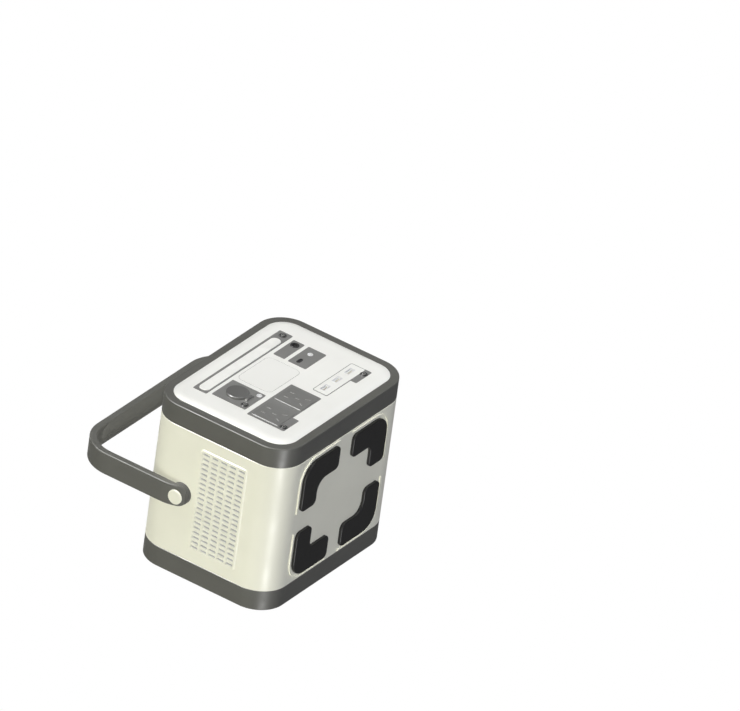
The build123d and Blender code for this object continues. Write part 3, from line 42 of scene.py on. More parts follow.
# ---- Camera: long lens from below, in front and to the left, rolled ---------------------------
VIEW_RIGHT = Vector((0.56974, -0.11804, -0.81332))
VIEW_UP = Vector((0.37683, -0.84195, 0.38616))
VIEW_BACK = Vector((-0.73036, -0.52649, -0.43521))
VIEW_CENTRE = Vector((0.08516, -0.14583, 0.03751))
FRAME_WIDTH = 0.888
LENS = 1000
SENSOR = 36
CLIP_NEAR, CLIP_FAR = 1, 200


def make_camera():
    distance = FRAME_WIDTH * LENS / SENSOR
    data = bpy.data.cameras.new("camera")
    data.lens = LENS
    data.sensor_width = SENSOR
    data.clip_start = CLIP_NEAR
    data.clip_end = CLIP_FAR
    camera = bpy.data.objects.new("camera", data)
    turn = Matrix((VIEW_RIGHT, VIEW_UP, VIEW_BACK)).transposed().to_4x4()
    camera.matrix_world = Matrix.Translation(VIEW_CENTRE + VIEW_BACK * distance) @ turn
    bpy.context.scene.collection.objects.link(camera)
    bpy.context.scene.camera = camera


# ---- Light and floor --------------------------------------------------------------------------
AMBIENT = 0.17
SOFTNESS = math.radians(38)
GLINT_SOFTNESS = math.radians(9)
SUNS = {
    # name: (direction the light comes from, strength, colour, casts shadows)
    "sun_left": ((-1, 0, 0), 2.2, (1.0, 0.995, 0.88), False),
    "sun_front": ((0, -1, 0), 2.5, (1.0, 1.0, 0.985), False),
    "sun_under": ((0, 0, -1), 0.76, (0.84, 0.86, 1.0), False),
    "sun_fill": ((0.6, 0.36, 0.72), 2.5, (1.0, 0.99, 0.97), True),
    "sun_back": ((0.15, 0.95, 0.2), 1.5, (1.0, 1.0, 0.99), True),
}
GLINTS = {
    # name: (direction, strength): seen only as a reflection in rounded edges and corners
    "glint_edges": ((-0.53, -0.734, 0.435), 17.0),
    "glint_corner": ((-0.435, 0.53, -0.73), 2.4),
}
BACKDROP = (1, 1, 1, 1)
FLOOR_RADIUS = 40
FLOOR_SEGMENTS = 96
FLOOR_DROP = 0.2 * MM
FLOOR_COLOUR = (0.82, 0.82, 0.81, 1)
FLOOR_ROUGHNESS = 0.9


def make_sun(name, source, strength, softness):
    data = bpy.data.lights.new(name, "SUN")
    data.energy = strength
    data.angle = softness
    lamp = bpy.data.objects.new(name, data)
    lamp.rotation_mode = "QUATERNION"
    lamp.rotation_quaternion = Vector(source).to_track_quat("Z", "Y")
    bpy.context.scene.collection.objects.link(lamp)
    return lamp


def make_lights():
    for name, (source, strength, colour, shadows) in SUNS.items():
        lamp = make_sun(name, source, strength, SOFTNESS)
        lamp.data.color = colour
        lamp.data.use_shadow = shadows
        lamp.visible_glossy = not shadows
    for name, (source, strength) in GLINTS.items():
        lamp = make_sun(name, source, strength, GLINT_SOFTNESS)
        lamp.visible_diffuse = False


def make_world():
    """White for the camera, soft grey light for everything else."""
    world = bpy.data.worlds.new("studio")
    bpy.context.scene.world = world
    world.use_nodes = True
    tree = world.node_tree
    tree.nodes.clear()
    path = tree.nodes.new("ShaderNodeLightPath")
    seen = tree.nodes.new("ShaderNodeBackground")
    seen.inputs["Color"].default_value = BACKDROP
    light = tree.nodes.new("ShaderNodeBackground")
    light.inputs["Color"].default_value = BACKDROP
    light.inputs["Strength"].default_value = AMBIENT
    mix = tree.nodes.new("ShaderNodeMixShader")
    out = tree.nodes.new("ShaderNodeOutputWorld")
    tree.links.new(path.outputs["Is Camera Ray"], mix.inputs[0])
    tree.links.new(light.outputs[0], mix.inputs[1])
    tree.links.new(seen.outputs[0], mix.inputs[2])
    tree.links.new(mix.outputs[0], out.inputs["Surface"])
    bpy.context.scene.view_settings.view_transform = "Standard"


def make_floor():
    """Pale floor that shows from above only, so that the feet can be seen from below."""
    mesh = bpy.data.meshes.new("floor")
    shape = bmesh.new()
    bmesh.ops.create_circle(shape, cap_ends=True, radius=FLOOR_RADIUS, segments=FLOOR_SEGMENTS)
    shape.to_mesh(mesh)
    shape.free()
    floor = bpy.data.objects.new("floor", mesh)
    floor.location.z = -FLOOR_DROP
    bpy.context.scene.collection.objects.link(floor)
    made = bpy.data.materials.new("floor")
    made.use_nodes = True
    tree = made.node_tree
    shader = tree.nodes["Principled BSDF"]
    shader.inputs["Base Color"].default_value = FLOOR_COLOUR
    shader.inputs["Roughness"].default_value = FLOOR_ROUGHNESS
    clear = tree.nodes.new("ShaderNodeBsdfTransparent")
    side = tree.nodes.new("ShaderNodeNewGeometry")
    mix = tree.nodes.new("ShaderNodeMixShader")
    tree.links.new(side.outputs["Backfacing"], mix.inputs[0])
    tree.links.new(shader.outputs[0], mix.inputs[1])
    tree.links.new(clear.outputs[0], mix.inputs[2])
    tree.links.new(mix.outputs[0], tree.nodes["Material Output"].inputs["Surface"])
    mesh.materials.append(made)
    floor.visible_diffuse = False
    floor.visible_glossy = False
    floor.visible_shadow = False


make_camera()
make_lights()
make_world()
make_floor()


# ---- Material helpers -------------------------------------------------------------------------
EDGE_SAMPLES = 4
EDGE_FLAT, EDGE_SHARP = 0.96, 0.8       # cosine of the turn at which paler edges begin and are full: partly rubbing and scuffing, partly a painted highlight


def put(tree, kind, inputs=None, **settings):
    """Adds a node; an input that is a socket is linked, any other value is set."""
    made = tree.nodes.new(kind)
    for key, value in settings.items():
        setattr(made, key, value)
    for key, value in (inputs or {}).items():
        if isinstance(value, bpy.types.NodeSocket):
            tree.links.new(value, made.inputs[key])
        else:
            made.inputs[key].default_value = value
    return made


def calc(tree, operation, a, b=0.0):
    return put(tree, "ShaderNodeMath", {0: a, 1: b}, operation=operation).outputs[0]


def remap(tree, value, low, high, to_low, to_high):
    inputs = {
        "Value": value, "From Min": low, "From Max": high, "To Min": to_low, "To Max": to_high}
    return put(tree, "ShaderNodeMapRange", inputs, clamp=True).outputs[0]


def blend_colour(tree, share, a, b):
    return put(tree, "ShaderNodeMix", {0: share, 6: a, 7: b}, data_type="RGBA").outputs[2]


def rgba(colour, factor=1.0):
    return tuple(min(1.0, c * factor) for c in colour) + (1,)


def drift(tree, value, low, high, colour, first, last):
    """Colour that goes from brightness first to last as value goes from low to high."""
    share = remap(tree, value, low, high, 0, 1)
    return blend_colour(tree, share, rgba(colour, first), rgba(colour, last))


def noise(tree, point, scale, detail=3.0, roughness=0.55):
    inputs = {"Vector": point, "Scale": scale, "Detail": detail, "Roughness": roughness}
    return put(tree, "ShaderNodeTexNoise", inputs).outputs[0]


def cells(tree, point, scale, feature="F1"):
    """Distance to the nearest of many scattered points."""
    inputs = {"Vector": point, "Scale": scale}
    return put(tree, "ShaderNodeTexVoronoi", inputs, feature=feature).outputs["Distance"]


def split(tree, vector):
    return put(tree, "ShaderNodeSeparateXYZ", {0: vector}).outputs


def stretched(tree, point, scale):
    return put(tree, "ShaderNodeMapping", {"Vector": point, "Scale": scale}).outputs[0]


def bump(tree, height, distance, strength):
    inputs = {"Height": height, "Distance": distance, "Strength": strength}
    return put(tree, "ShaderNodeBump", inputs).outputs[0]


def edges(tree, radius):
    """1 on sharp and rounded edges, 0 on flat faces."""
    soft = put(tree, "ShaderNodeBevel", {"Radius": radius}, samples=EDGE_SAMPLES).outputs[0]
    plain = put(tree, "ShaderNodeNewGeometry").outputs["Normal"]
    product = put(tree, "ShaderNodeVectorMath", {0: soft, 1: plain}, operation="DOT_PRODUCT")
    return remap(tree, product.outputs["Value"], EDGE_FLAT, EDGE_SHARP, 0.0, 1.0)


def start(name):
    made = bpy.data.materials.new(name)
    made.use_nodes = True
    tree = made.node_tree
    point = put(tree, "ShaderNodeTexCoord").outputs["Object"]
    return made, tree, tree.nodes["Principled BSDF"], point


SHADER_INPUTS = {
    "colour": "Base Color", "rough": "Roughness", "metallic": "Metallic", "normal": "Normal"}


def feed(shader, **sockets):
    """Links sockets to the shader, each under its short name."""
    for key, socket in sockets.items():
        shader.id_data.links.new(socket, shader.inputs[SHADER_INPUTS[key]])


# ---- Materials --------------------------------------------------------------------------------
# A texture's scale is roughly its number of features per metre.
# Paler edges of moulded plastic: partly rubbing, partly a painted highlight on rounded edges.
WEAR_AND_HIGHLIGHT_EDGE = 0.7 * MM
WEAR_AND_HIGHLIGHT_PALER = 0.35
RUBBED_SHEEN = 0.25
FLECK_SCALE = 0.6
FLECK_BRIGHTNESS = 1.9
COAT_ROUGHNESS = 0.25
GRAIN_HEIGHT = 0.05 * MM

# Depth behind the vent face over which painted shade begins and is full.
SHADE_START, SHADE_FULL = 0.3 * MM, 3 * MM

# Lighter rubber edges are partly scuffing and partly a painted highlight.
SCUFF_AND_HIGHLIGHT_EDGE = 0.8 * MM
SCUFF_AND_HIGHLIGHT_BRIGHTNESS = 14
DUST_COLOUR = (0.16, 0.15, 0.13, 1)
PEBBLE_HEIGHT = 0.12 * MM
RUBBER_SPECULAR = 0.4

BRUSH_HEIGHT = 0.03 * MM
PRISM_HEIGHT = 0.08 * MM
TRACK_HEIGHT = 0.04 * MM
SOLDER_COLOUR = (0.62, 0.6, 0.55, 1)

BAND_DROP, BAND_HALF = 11 * MM, 2.5 * MM
WRINKLE_HEIGHT = 0.1 * MM

WIRE_TURNS = 110
WIRE_HEIGHT = 0.4 * MM
WIRE_METALLIC = 0.85


def moulded(name, colour, rough=0.5, grain=1500, depth=0.5, shift=0.03, wear_and_highlight=0.2, spark=0.0,
            coat=0.0, specular=0.5):
    """Moulded plastic: eroded grain, slow colour drift, handled sheen, and paler edges that are
    partly rubbing and partly a painted highlight.
    """
    made, tree, shader, point = start(name)
    fine = noise(tree, point, grain, 3, 0.6)
    broad = noise(tree, point, 11, 3)
    rub = noise(tree, point, 170, 4, 0.65)
    tone = drift(tree, broad, 0.3, 0.7, colour, 1 - shift, 1 + shift)
    if spark:
        fleck = remap(tree, cells(tree, point, grain * FLECK_SCALE), 0.1, 0.22, spark, 0)
        tone = blend_colour(tree, fleck, tone, rgba(colour, FLECK_BRIGHTNESS))
    # Painted highlight mixed with rubbing: edges turn paler in patches.
    patchy_wear_and_highlight = remap(tree, rub, 0.42, 0.62, 0, wear_and_highlight)
    wear_and_highlight_mask = calc(tree, "MULTIPLY", edges(tree, WEAR_AND_HIGHLIGHT_EDGE), patchy_wear_and_highlight)
    paler = tuple(c + (1 - c) * WEAR_AND_HIGHLIGHT_PALER for c in colour)
    handled = noise(tree, point, 38, 5, 0.6)
    sheen = remap(tree, handled, 0.35, 0.65, rough - 0.05, rough + 0.06)
    feed(shader,
         colour=blend_colour(tree, wear_and_highlight_mask, tone, rgba(paler)),
         rough=calc(tree, "SUBTRACT", sheen, calc(tree, "MULTIPLY", wear_and_highlight_mask, RUBBED_SHEEN)),
         normal=bump(tree, fine, GRAIN_HEIGHT, depth))
    shader.inputs["Specular IOR Level"].default_value = specular
    shader.inputs["Coat Weight"].default_value = coat
    shader.inputs["Coat Roughness"].default_value = COAT_ROUGHNESS
    return made


def shade_depth(made, face, deep):
    """Painted shade: turns a finish towards the colour deep behind the plane |x| = face, as shade
    falls in a slot.
    """
    tree = made.node_tree
    shader = tree.nodes["Principled BSDF"]
    plain = shader.inputs["Base Color"].links[0].from_socket
    point = put(tree, "ShaderNodeTexCoord").outputs["Object"]
    across = calc(tree, "ABSOLUTE", split(tree, point)[0])
    share = remap(tree, across, face - SHADE_FULL, face - SHADE_START, 1, 0)
    feed(shader, colour=blend_colour(tree, share, plain, rgba(deep)))
    return made


def rubber(name, colour):
    """Rubber with a pebbled skin, edges lighter partly from scuffing and partly as a painted
    highlight, and dust caught in the grain.
    """
    made, tree, shader, point = start(name)
    pebble = cells(tree, point, 900, "SMOOTH_F1")
    dust = noise(tree, point, 90, 5, 0.7)
    specks = noise(tree, point, 900, 2)
    # Painted highlight mixed with scuffing: rounded rubber edges turn lighter.
    scuff_and_highlight = calc(tree, "MULTIPLY", edges(tree, SCUFF_AND_HIGHLIGHT_EDGE),
                 remap(tree, dust, 0.4, 0.65, 0.1, 0.6))
    caught = calc(tree, "MULTIPLY", remap(tree, dust, 0.52, 0.75, 0, 0.25),
                  remap(tree, specks, 0.5, 0.7, 0, 1))
    tone = blend_colour(tree, scuff_and_highlight, rgba(colour), rgba(colour, SCUFF_AND_HIGHLIGHT_BRIGHTNESS))
    feed(shader,
         colour=blend_colour(tree, caught, tone, DUST_COLOUR),
         rough=remap(tree, dust, 0.3, 0.7, 0.36, 0.5),
         normal=bump(tree, pebble, PEBBLE_HEIGHT, 0.45))
    shader.inputs["Specular IOR Level"].default_value = RUBBER_SPECULAR
    return made


def metal(name, colour, rough=0.3, brush=(60, 60, 2600), strength=0.15):
    """Metal with fine brush lines and faint stains."""
    made, tree, shader, point = start(name)
    lines = noise(tree, stretched(tree, point, brush), 1, 4, 0.6)
    stain = noise(tree, point, 120, 4, 0.6)
    feed(shader,
         colour=drift(tree, stain, 0.35, 0.7, colour, 1.08, 0.8),
         rough=remap(tree, lines, 0.3, 0.7, rough - 0.08, rough + 0.12),
         normal=bump(tree, lines, BRUSH_HEIGHT, strength))
    shader.inputs["Metallic"].default_value = 1
    return made


def frosted(name, colour):
    """Frosted lamp cover: fine prisms across it over a milky body."""
    made, tree, shader, point = start(name)
    inputs = {"Vector": point, "Scale": 95, "Distortion": 0.0}
    prisms = put(tree, "ShaderNodeTexWave", inputs, bands_direction="X").outputs[1]
    milk = noise(tree, point, 60, 4)
    frost = noise(tree, point, 2200, 2)
    height = calc(tree, "ADD", calc(tree, "MULTIPLY", prisms, 0.6), frost)
    feed(shader,
         colour=drift(tree, milk, 0.35, 0.65, colour, 0.97, 1.04),
         rough=remap(tree, milk, 0.3, 0.7, 0.38, 0.5),
         normal=bump(tree, height, PRISM_HEIGHT, 0.3))
    return made


def board(name, colour):
    """Circuit board: solder mask over copper tracks, with tinned pads."""
    made, tree, shader, point = start(name)
    bricks = put(tree, "ShaderNodeTexBrick", {
        "Vector": point, "Scale": 260, "Mortar Size": 0.09, "Color1": (1, 1, 1, 1),
        "Color2": (0.8, 0.8, 0.8, 1), "Mortar": (0, 0, 0, 1)})
    track = put(tree, "ShaderNodeSeparateColor", {0: bricks.outputs["Color"]}).outputs[0]
    pad = remap(tree, cells(tree, point, 300), 0.12, 0.16, 1, 0)
    mask = blend_colour(tree, track, rgba(colour, 0.7), rgba(colour, 1.35))
    feed(shader,
         colour=blend_colour(tree, pad, mask, SOLDER_COLOUR),
         rough=remap(tree, pad, 0, 1, 0.35, 0.25),
         metallic=pad,
         normal=bump(tree, track, TRACK_HEIGHT, 0.5))
    return made


def wrapped(name, colour, stripe):
    """Shrink-wrapped can: glossy sleeve, paler band near the top, fine wrinkles."""
    made, tree, shader, point = start(name)
    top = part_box("battery_cells")[1].z
    inputs = {0: split(tree, point)[2], 1: top - BAND_DROP, 2: BAND_HALF}
    band = put(tree, "ShaderNodeMath", inputs, operation="COMPARE").outputs[0]
    wrinkle = noise(tree, stretched(tree, point, (300, 300, 40)), 1, 4, 0.6)
    tone = drift(tree, wrinkle, 0.3, 0.7, colour, 0.9, 1.1)
    feed(shader,
         colour=blend_colour(tree, band, tone, rgba(stripe)),
         rough=remap(tree, wrinkle, 0.3, 0.7, 0.25, 0.4),
         normal=bump(tree, wrinkle, WRINKLE_HEIGHT, 0.4))
    return made


def windings(name, colour, centre):
    """Turns of lacquered wire laid round a ring."""
    made, tree, shader, point = start(name)
    offset = put(tree, "ShaderNodeVectorMath", {0: point, 1: centre}, operation="SUBTRACT")
    local = offset.outputs[0]
    parts = split(tree, local)
    angle = calc(tree, "ARCTAN2", parts[1], parts[0])
    turns = calc(tree, "SINE", calc(tree, "MULTIPLY", angle, WIRE_TURNS))
    wobble = noise(tree, local, 90, 3)
    tone = drift(tree, wobble, 0.3, 0.7, colour, 0.8, 1.2)
    gap = remap(tree, turns, -1, 0, 1, 0)
    feed(shader,
         colour=blend_colour(tree, gap, tone, rgba(colour, 0.35)),
         rough=remap(tree, wobble, 0.3, 0.7, 0.22, 0.36),
         normal=bump(tree, turns, WIRE_HEIGHT, 0.8))
    shader.inputs["Metallic"].default_value = WIRE_METALLIC
    return made


def centre_of(node):
    low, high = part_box(node)
    return (low + high) / 2


WHITE = (0.86, 0.86, 0.835)
CREAM = (0.83, 0.826, 0.715)
TRIM = (0.104, 0.104, 0.095)
PLATE = (0.195, 0.195, 0.19)
BLACK = (0.022, 0.022, 0.022)
# Painted shade: grey standing for the shade inside the vent slots, used deep in the slots and for
# the left dust screen behind them.
SHADOW = (0.4, 0.4, 0.41)
RIDGE_STAND = 1.6 * MM
VENT_FACE = -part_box("left_vent_grille")[0].x - RIDGE_STAND
SLEEVE_SKIN = {"rough": 0.46, "grain": 1300, "depth": 0.45}

materials = {
    "sleeve": moulded("sleeve", CREAM, **SLEEVE_SKIN),
    "vent_cream_painted_shade": shade_depth(moulded("vent_cream_painted_shade", CREAM, **SLEEVE_SKIN), VENT_FACE, SHADOW),
    "panel_white": moulded("panel_white", WHITE, 0.42, 1500, 0.35),
    "trim": moulded("trim", TRIM, 0.44, 1100, 0.7, 0.05, 0.3, specular=0.32),
    "grip": moulded("grip", TRIM, 0.5, 800, 0.9, 0.06, 0.28, specular=0.3),
    "inlay": moulded("inlay", (0.08, 0.08, 0.074), 0.5, 1300, 0.8, 0.05, 0.25),
    "plate": moulded("plate", PLATE, 0.42, 1500, 0.6, 0.03, 0.25, spark=0.25),
    "outlet": moulded("outlet", (0.185, 0.185, 0.18), 0.36, 1900, 0.4, 0.03, 0.2),
    "cap_grey": moulded("cap_grey", (0.115, 0.115, 0.112), 0.4, 1300, 0.6, 0.05, 0.3),
    "window": moulded("window", WHITE, 0.34, 2200, 0.12, 0.012, 0.0),
    "button": moulded("button", BLACK, 0.34, 1900, 0.4, 0.1, 0.2, coat=0.2),
    "socket": moulded("socket", (0.028, 0.028, 0.03), 0.4, 1500, 0.5, 0.1, 0.2),
    "inlet": moulded("inlet", (0.62, 0.63, 0.64), 0.4, 1500, 0.5, 0.04, 0.2),
    # Painted shade: the left dust screen takes the shade grey, so the vent slots read dark.
    "screen_painted_shade": moulded("screen_painted_shade", SHADOW, 0.45, 1500, 0.5),
    "fan": moulded("fan", (0.045, 0.045, 0.048), 0.4, 1300, 0.6, 0.08, 0.2),
    "frame_black": moulded("frame_black", (0.05, 0.05, 0.055), 0.5, 1100, 0.8, 0.08, 0.25),
    "spacer": moulded("spacer", (0.07, 0.07, 0.068), 0.5, 1100, 0.8, 0.06, 0.25),
    "port_white": moulded("port_white", (0.7, 0.7, 0.72), 0.35, 2000, 0.3, 0.03, 0.1),
    "bead": moulded("bead", (0.42, 0.42, 0.41), 0.35, 1900, 0.3, 0.04, 0.2),
    "mark": moulded("mark", (0.75, 0.76, 0.74), 0.35, 2000, 0.2),
    "rubber": rubber("rubber", (0.006, 0.006, 0.006)),
    "steel": metal("steel", (0.62, 0.62, 0.6)),
    "nickel": metal("nickel", (0.74, 0.73, 0.69), 0.22, (2600, 60, 60)),
    "screen_metal": metal("screen_metal", (0.42, 0.42, 0.41), 0.32, (60, 1400, 1400), 0.3),
    "copper": metal("copper", (0.78, 0.42, 0.22), 0.26, (60, 2600, 2600)),
    "brass": metal("brass", (0.74, 0.6, 0.32), 0.28, (60, 60, 2600)),
    "aluminium": metal("aluminium", (0.6, 0.61, 0.62), 0.36, (2600, 60, 60), 0.25),
    "diffuser": frosted("diffuser", WHITE),
    "board": board("board", (0.02, 0.13, 0.05)),
    "cells": wrapped("cells", (0.06, 0.2, 0.42), (0.75, 0.75, 0.7)),
    "capacitors": wrapped("capacitors", (0.04, 0.05, 0.09), (0.6, 0.6, 0.62)),
    "windings": windings("windings", (0.62, 0.27, 0.1), centre_of("inverter_transformer")),
}

FINISHES = {
    "sleeve": ["body_sleeve", "pivot_caps"],
    "vent_cream_painted_shade": ["left_vent_grille"],
    "panel_white": ["front_panel", "rear_cover", "usb_face"],
    "trim": ["front_rim", "rear_rim"],
    "grip": ["carry_handle"],
    "inlay": ["right_inlay_panel", "right_vent_grille"],
    "plate": ["lamp_bezel", "dc_input_plate", "port_plate", "car_socket_plate", "ac_plate",
              "usb_surround", "inlet_plate"],
    "outlet": ["ac_outlet_left", "ac_outlet_right"],
    "cap_grey": ["car_socket_cap"],
    "window": ["display_window"],
    "button": ["lamp_button", "dc_button", "ac_button", "usb_button"],
    "socket": ["dc_input_jack", "usb_c_port"],
    "inlet": ["ac_inlet"],
    "screen_painted_shade": ["left_dust_screen"],
    "fan": ["fan_frames", "fan_rotor_front", "fan_rotor_rear"],
    "frame_black": ["battery_tray", "cell_holders"],
    "spacer": ["pivot_spacers"],
    "rubber": ["foot_front_left", "foot_front_right", "foot_rear_left", "foot_rear_right"],
    "steel": ["case_screws", "pivot_bolts", "pivot_nuts", "cap_hinge_pin"],
    "nickel": ["car_socket_barrel", "bus_bars"],
    "port_white": ["usb_ports", "barrel_outlets"],
    "screen_metal": ["right_dust_screen"],
    "copper": ["inlet_pins"],
    "aluminium": ["inverter_heatsink"],
    "diffuser": ["lamp_diffuser"],
    "board": ["control_board", "lamp_led_board", "bms_board", "inverter_board", "display_module"],
    "cells": ["battery_cells"],
    "capacitors": ["inverter_capacitors"],
    "windings": ["inverter_transformer"],
}


def dress(target, finish):
    if not target.material_slots:
        target.data.materials.append(None)
    for place in target.material_slots:
        place.material = materials[finish]


for finish, names in FINISHES.items():
    for name in names:
        dress(nodes[name], finish)
undressed = set(nodes) - {name for names in FINISHES.values() for name in names}
assert not undressed, sorted(undressed)


# ---- Shape helpers ----------------------------------------------------------------------------
SMOOTH_ANGLE = math.radians(40)
LATHE_SEGMENTS = 48
BEAD_STEPS = 8
BEAD_ROOT = 0.3 * MM            # how deep a bead is set into the face behind it
CORNER_STEPS = 10


def piece(name, shape, finish, body):
    mesh = bpy.data.meshes.new(name)
    bmesh.ops.recalc_face_normals(shape, faces=shape.faces)
    shape.to_mesh(mesh)
    shape.free()
    made = bpy.data.objects.new(name, mesh)
    bpy.context.scene.collection.objects.link(made)
    for face in mesh.polygons:
        face.use_smooth = True
    mesh.set_sharp_from_angle(angle=SMOOTH_ANGLE)
    mesh.materials.append(materials[finish])
    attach(made, body)


def lathe(shape, centre, profile):
    """Closed ring whose profile is (radius, y) points, turned about a Y axis through centre."""
    rings = []
    for index in range(LATHE_SEGMENTS):
        turn = math.tau * index / LATHE_SEGMENTS
        across, up = math.cos(turn), math.sin(turn)
        rings.append([shape.verts.new((centre.x + radius * across, y, centre.z + radius * up))
                      for radius, y in profile])
    for index in range(LATHE_SEGMENTS):
        here, there = rings[index], rings[(index + 1) % LATHE_SEGMENTS]
        for step in range(len(profile)):
            after = (step + 1) % len(profile)
            shape.faces.new((here[step], there[step], there[after], here[after]))


def ring_profile(inner, outer, back, rise):
    """Half-round bead from inner to outer radius, standing rise in front of y = back."""
    middle, half = (inner + outer) / 2, (outer - inner) / 2
    profile = []
    for step in range(BEAD_STEPS + 1):
        angle = math.pi * step / BEAD_STEPS
        profile.append((middle - half * math.cos(angle), back - rise * math.sin(angle)))
    return profile + [(outer, back + BEAD_ROOT), (inner, back + BEAD_ROOT)]


def block(shape, low, high, bevel):
    """Box from low to high with bevelled edges."""
    made = bmesh.ops.create_cube(shape, size=1)["verts"]
    for vert in made:
        vert.co = Vector([low[k] if vert.co[k] < 0 else high[k] for k in range(3)])
    lines = list({edge for vert in made for edge in vert.link_edges})
    bmesh.ops.bevel(shape, geom=lines, offset=bevel, segments=2, affect="EDGES", profile=0.5)


def rounded_loop(low, high, inset, radius):
    """(x, z) points of a rounded rectangle, inset from the box between low and high."""
    x_low, z_low = low.x + inset, low.z + inset
    x_high, z_high = high.x - inset, high.z - inset
    corners = [(x_high - radius, z_high - radius), (x_low + radius, z_high - radius),
               (x_low + radius, z_low + radius), (x_high - radius, z_low + radius)]
    loop = []
    for quarter, (x, z) in enumerate(corners):
        for step in range(CORNER_STEPS + 1):
            angle = math.radians(90 * quarter + 90 * step / CORNER_STEPS)
            loop.append((x + radius * math.cos(angle), z + radius * math.sin(angle)))
    return loop


# ---- Small pieces on the front ----------------------------------------------------------------
BUTTONS = ["lamp", "dc", "ac", "usb"]
MARK_RADII = 1.5 * MM, 2.0 * MM
MARK_RISE = 0.12 * MM
RIM_RADII = 4.15 * MM, 4.95 * MM
RIM_RISE = 0.35 * MM

WINDOW_FLANGE = 1 * MM
WINDOW_CORNER = 8 * MM
SEAM_WIDTH = 0.4 * MM
SEAM_RISE = 0.04 * MM
SEAM_DEPTH = 0.5 * MM

PORT_WIDTH = 14.5 * MM
TONGUE_HALF = 5.55 * MM
TONGUE_FRONT, TONGUE_BACK = 0.9 * MM, 8.9 * MM
TONGUE_UNDER, TONGUE_TOP = -0.05 * MM, 1.85 * MM
TONGUE_BEVEL = 0.15 * MM
CONTACT_COUNT = 4
CONTACT_PITCH = 2.4 * MM
CONTACT_HALF = 0.5 * MM
CONTACT_FRONT, CONTACT_BACK = 1.4 * MM, 8.5 * MM
CONTACT_UNDER, CONTACT_TOP = -0.15 * MM, 0.05 * MM
CONTACT_BEVEL = 0.04 * MM

OUTLETS = ["ac_outlet_left", "ac_outlet_right"]
UPPER_SLOT_X = 6.35
OUTLET_SLOTS = [
    # x and z from the outlet's centre in mm, and the turn in degrees
    (0, -1, 0), (-UPPER_SLOT_X, 11, 0), (UPPER_SLOT_X, 11, 0), (-7.5, -11.5, -30), (7.5, -11.5, 30)]
SHUTTER_HALF_X, SHUTTER_HALF_Z = 0.85 * MM, 3.15 * MM
SHUTTER_FRONT, SHUTTER_BACK = 0.6 * MM, 2.2 * MM
SHUTTER_BEVEL = 0.12 * MM
BLADE_OFFSET = 0.95 * MM        # from the slot's middle to the middle of each sprung blade
BLADE_HALF = 0.25 * MM
BLADE_FRONT, BLADE_BACK = 3 * MM, 15 * MM
BLADE_UNDER, BLADE_TOP = 8 * MM, 14 * MM
BLADE_BEVEL = 0.08 * MM


def make_button_details():
    """A raised ring on each button, and a dark bead round it on the plate."""
    plate_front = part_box("ac_plate")[0].y
    for button in BUTTONS:
        middle = centre_of(f"{button}_button")
        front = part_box(f"{button}_button")[0].y
        mark = bmesh.new()
        lathe(mark, middle, ring_profile(*MARK_RADII, front, MARK_RISE))
        piece(f"{button}_button_mark", mark, "bead", f"{button}_switch_button")
        rim = bmesh.new()
        lathe(rim, middle, ring_profile(*RIM_RADII, plate_front, RIM_RISE))
        piece(f"{button}_button_rim", rim, "button", "case")


def make_display_gap_shade():
    """Dark line round the display window: painted shade for the gap round it, built as a thin bead.
    """
    low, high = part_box("display_window")
    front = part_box("front_panel")[0].y - SEAM_RISE
    back = front + SEAM_DEPTH
    inner = rounded_loop(low, high, WINDOW_FLANGE, WINDOW_CORNER)
    outer = rounded_loop(low, high, WINDOW_FLANGE - SEAM_WIDTH, WINDOW_CORNER + SEAM_WIDTH)
    seam = bmesh.new()
    rings = [[seam.verts.new((x, y, z)) for x, z in loop]
             for loop, y in ((outer, back), (outer, front), (inner, front), (inner, back))]
    for index in range(len(outer)):
        after = (index + 1) % len(outer)
        for here, there in zip(rings, rings[1:] + rings[:1]):
            seam.faces.new((here[index], here[after], there[after], there[index]))
    # The bead's grey is painted shade for the gap round the window.
    piece("display_gap_shade", seam, "outlet", "case")


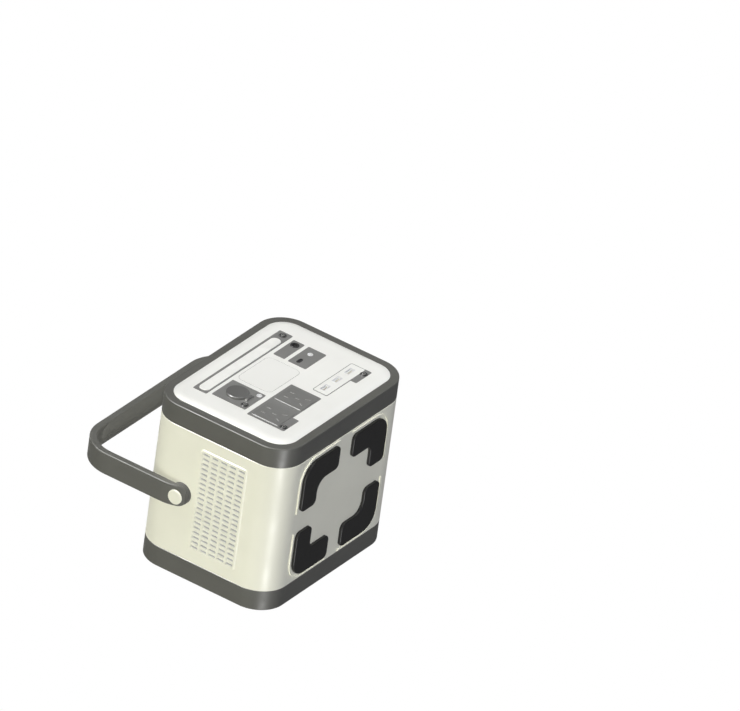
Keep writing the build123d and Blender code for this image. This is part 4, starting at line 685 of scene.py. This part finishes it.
def make_usb_tongues():
    """White tongue with four gilt contacts in each USB port."""
    low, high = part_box("usb_ports")
    step = (high.x - low.x - PORT_WIDTH) / 2
    front = low.y
    level = (low.z + high.z) / 2
    for index in range(3):
        x = low.x + PORT_WIDTH / 2 + index * step
        tongue = bmesh.new()
        block(tongue, (x - TONGUE_HALF, front + TONGUE_FRONT, level + TONGUE_UNDER),
              (x + TONGUE_HALF, front + TONGUE_BACK, level + TONGUE_TOP), TONGUE_BEVEL)
        piece(f"usb_tongue_{index + 1}", tongue, "mark", "case")
        pads = bmesh.new()
        for pad in range(CONTACT_COUNT):
            at = x + (pad - (CONTACT_COUNT - 1) / 2) * CONTACT_PITCH
            block(pads, (at - CONTACT_HALF, front + CONTACT_FRONT, level + CONTACT_UNDER),
                  (at + CONTACT_HALF, front + CONTACT_BACK, level + CONTACT_TOP), CONTACT_BEVEL)
        piece(f"usb_contacts_{index + 1}", pads, "brass", "case")


def make_outlet_shutters():
    """Pale safety shutters just inside the five slots of each mains outlet."""
    for node in OUTLETS:
        middle = centre_of(node)
        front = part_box(node)[0].y
        shutters = bmesh.new()
        for x, z, degrees in OUTLET_SLOTS:
            before = set(shutters.verts)
            block(shutters, (-SHUTTER_HALF_X, front + SHUTTER_FRONT, -SHUTTER_HALF_Z),
                  (SHUTTER_HALF_X, front + SHUTTER_BACK, SHUTTER_HALF_Z), SHUTTER_BEVEL)
            turn = Matrix.Rotation(-math.radians(degrees), 3, "Y")
            for vert in set(shutters.verts) - before:
                place = turn @ Vector((vert.co.x, 0, vert.co.z))
                vert.co.x = middle.x + x * MM + place.x
                vert.co.z = middle.z + z * MM + place.z
        piece(f"{node}_shutters", shutters, "bead", "case")


def make_outlet_contacts():
    """Sprung brass blades behind the upper slots of each mains outlet."""
    for node in OUTLETS:
        middle = centre_of(node)
        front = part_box(node)[0].y
        blades = bmesh.new()
        for side in (-1, 1):
            for lip in (-1, 1):
                x = middle.x + side * UPPER_SLOT_X * MM + lip * BLADE_OFFSET
                block(blades, (x - BLADE_HALF, front + BLADE_FRONT, middle.z + BLADE_UNDER),
                      (x + BLADE_HALF, front + BLADE_BACK, middle.z + BLADE_TOP), BLADE_BEVEL)
        piece(f"{node}_contacts", blades, "brass", "case")


make_button_details()
make_display_gap_shade()
make_usb_tongues()
make_outlet_shutters()
make_outlet_contacts()
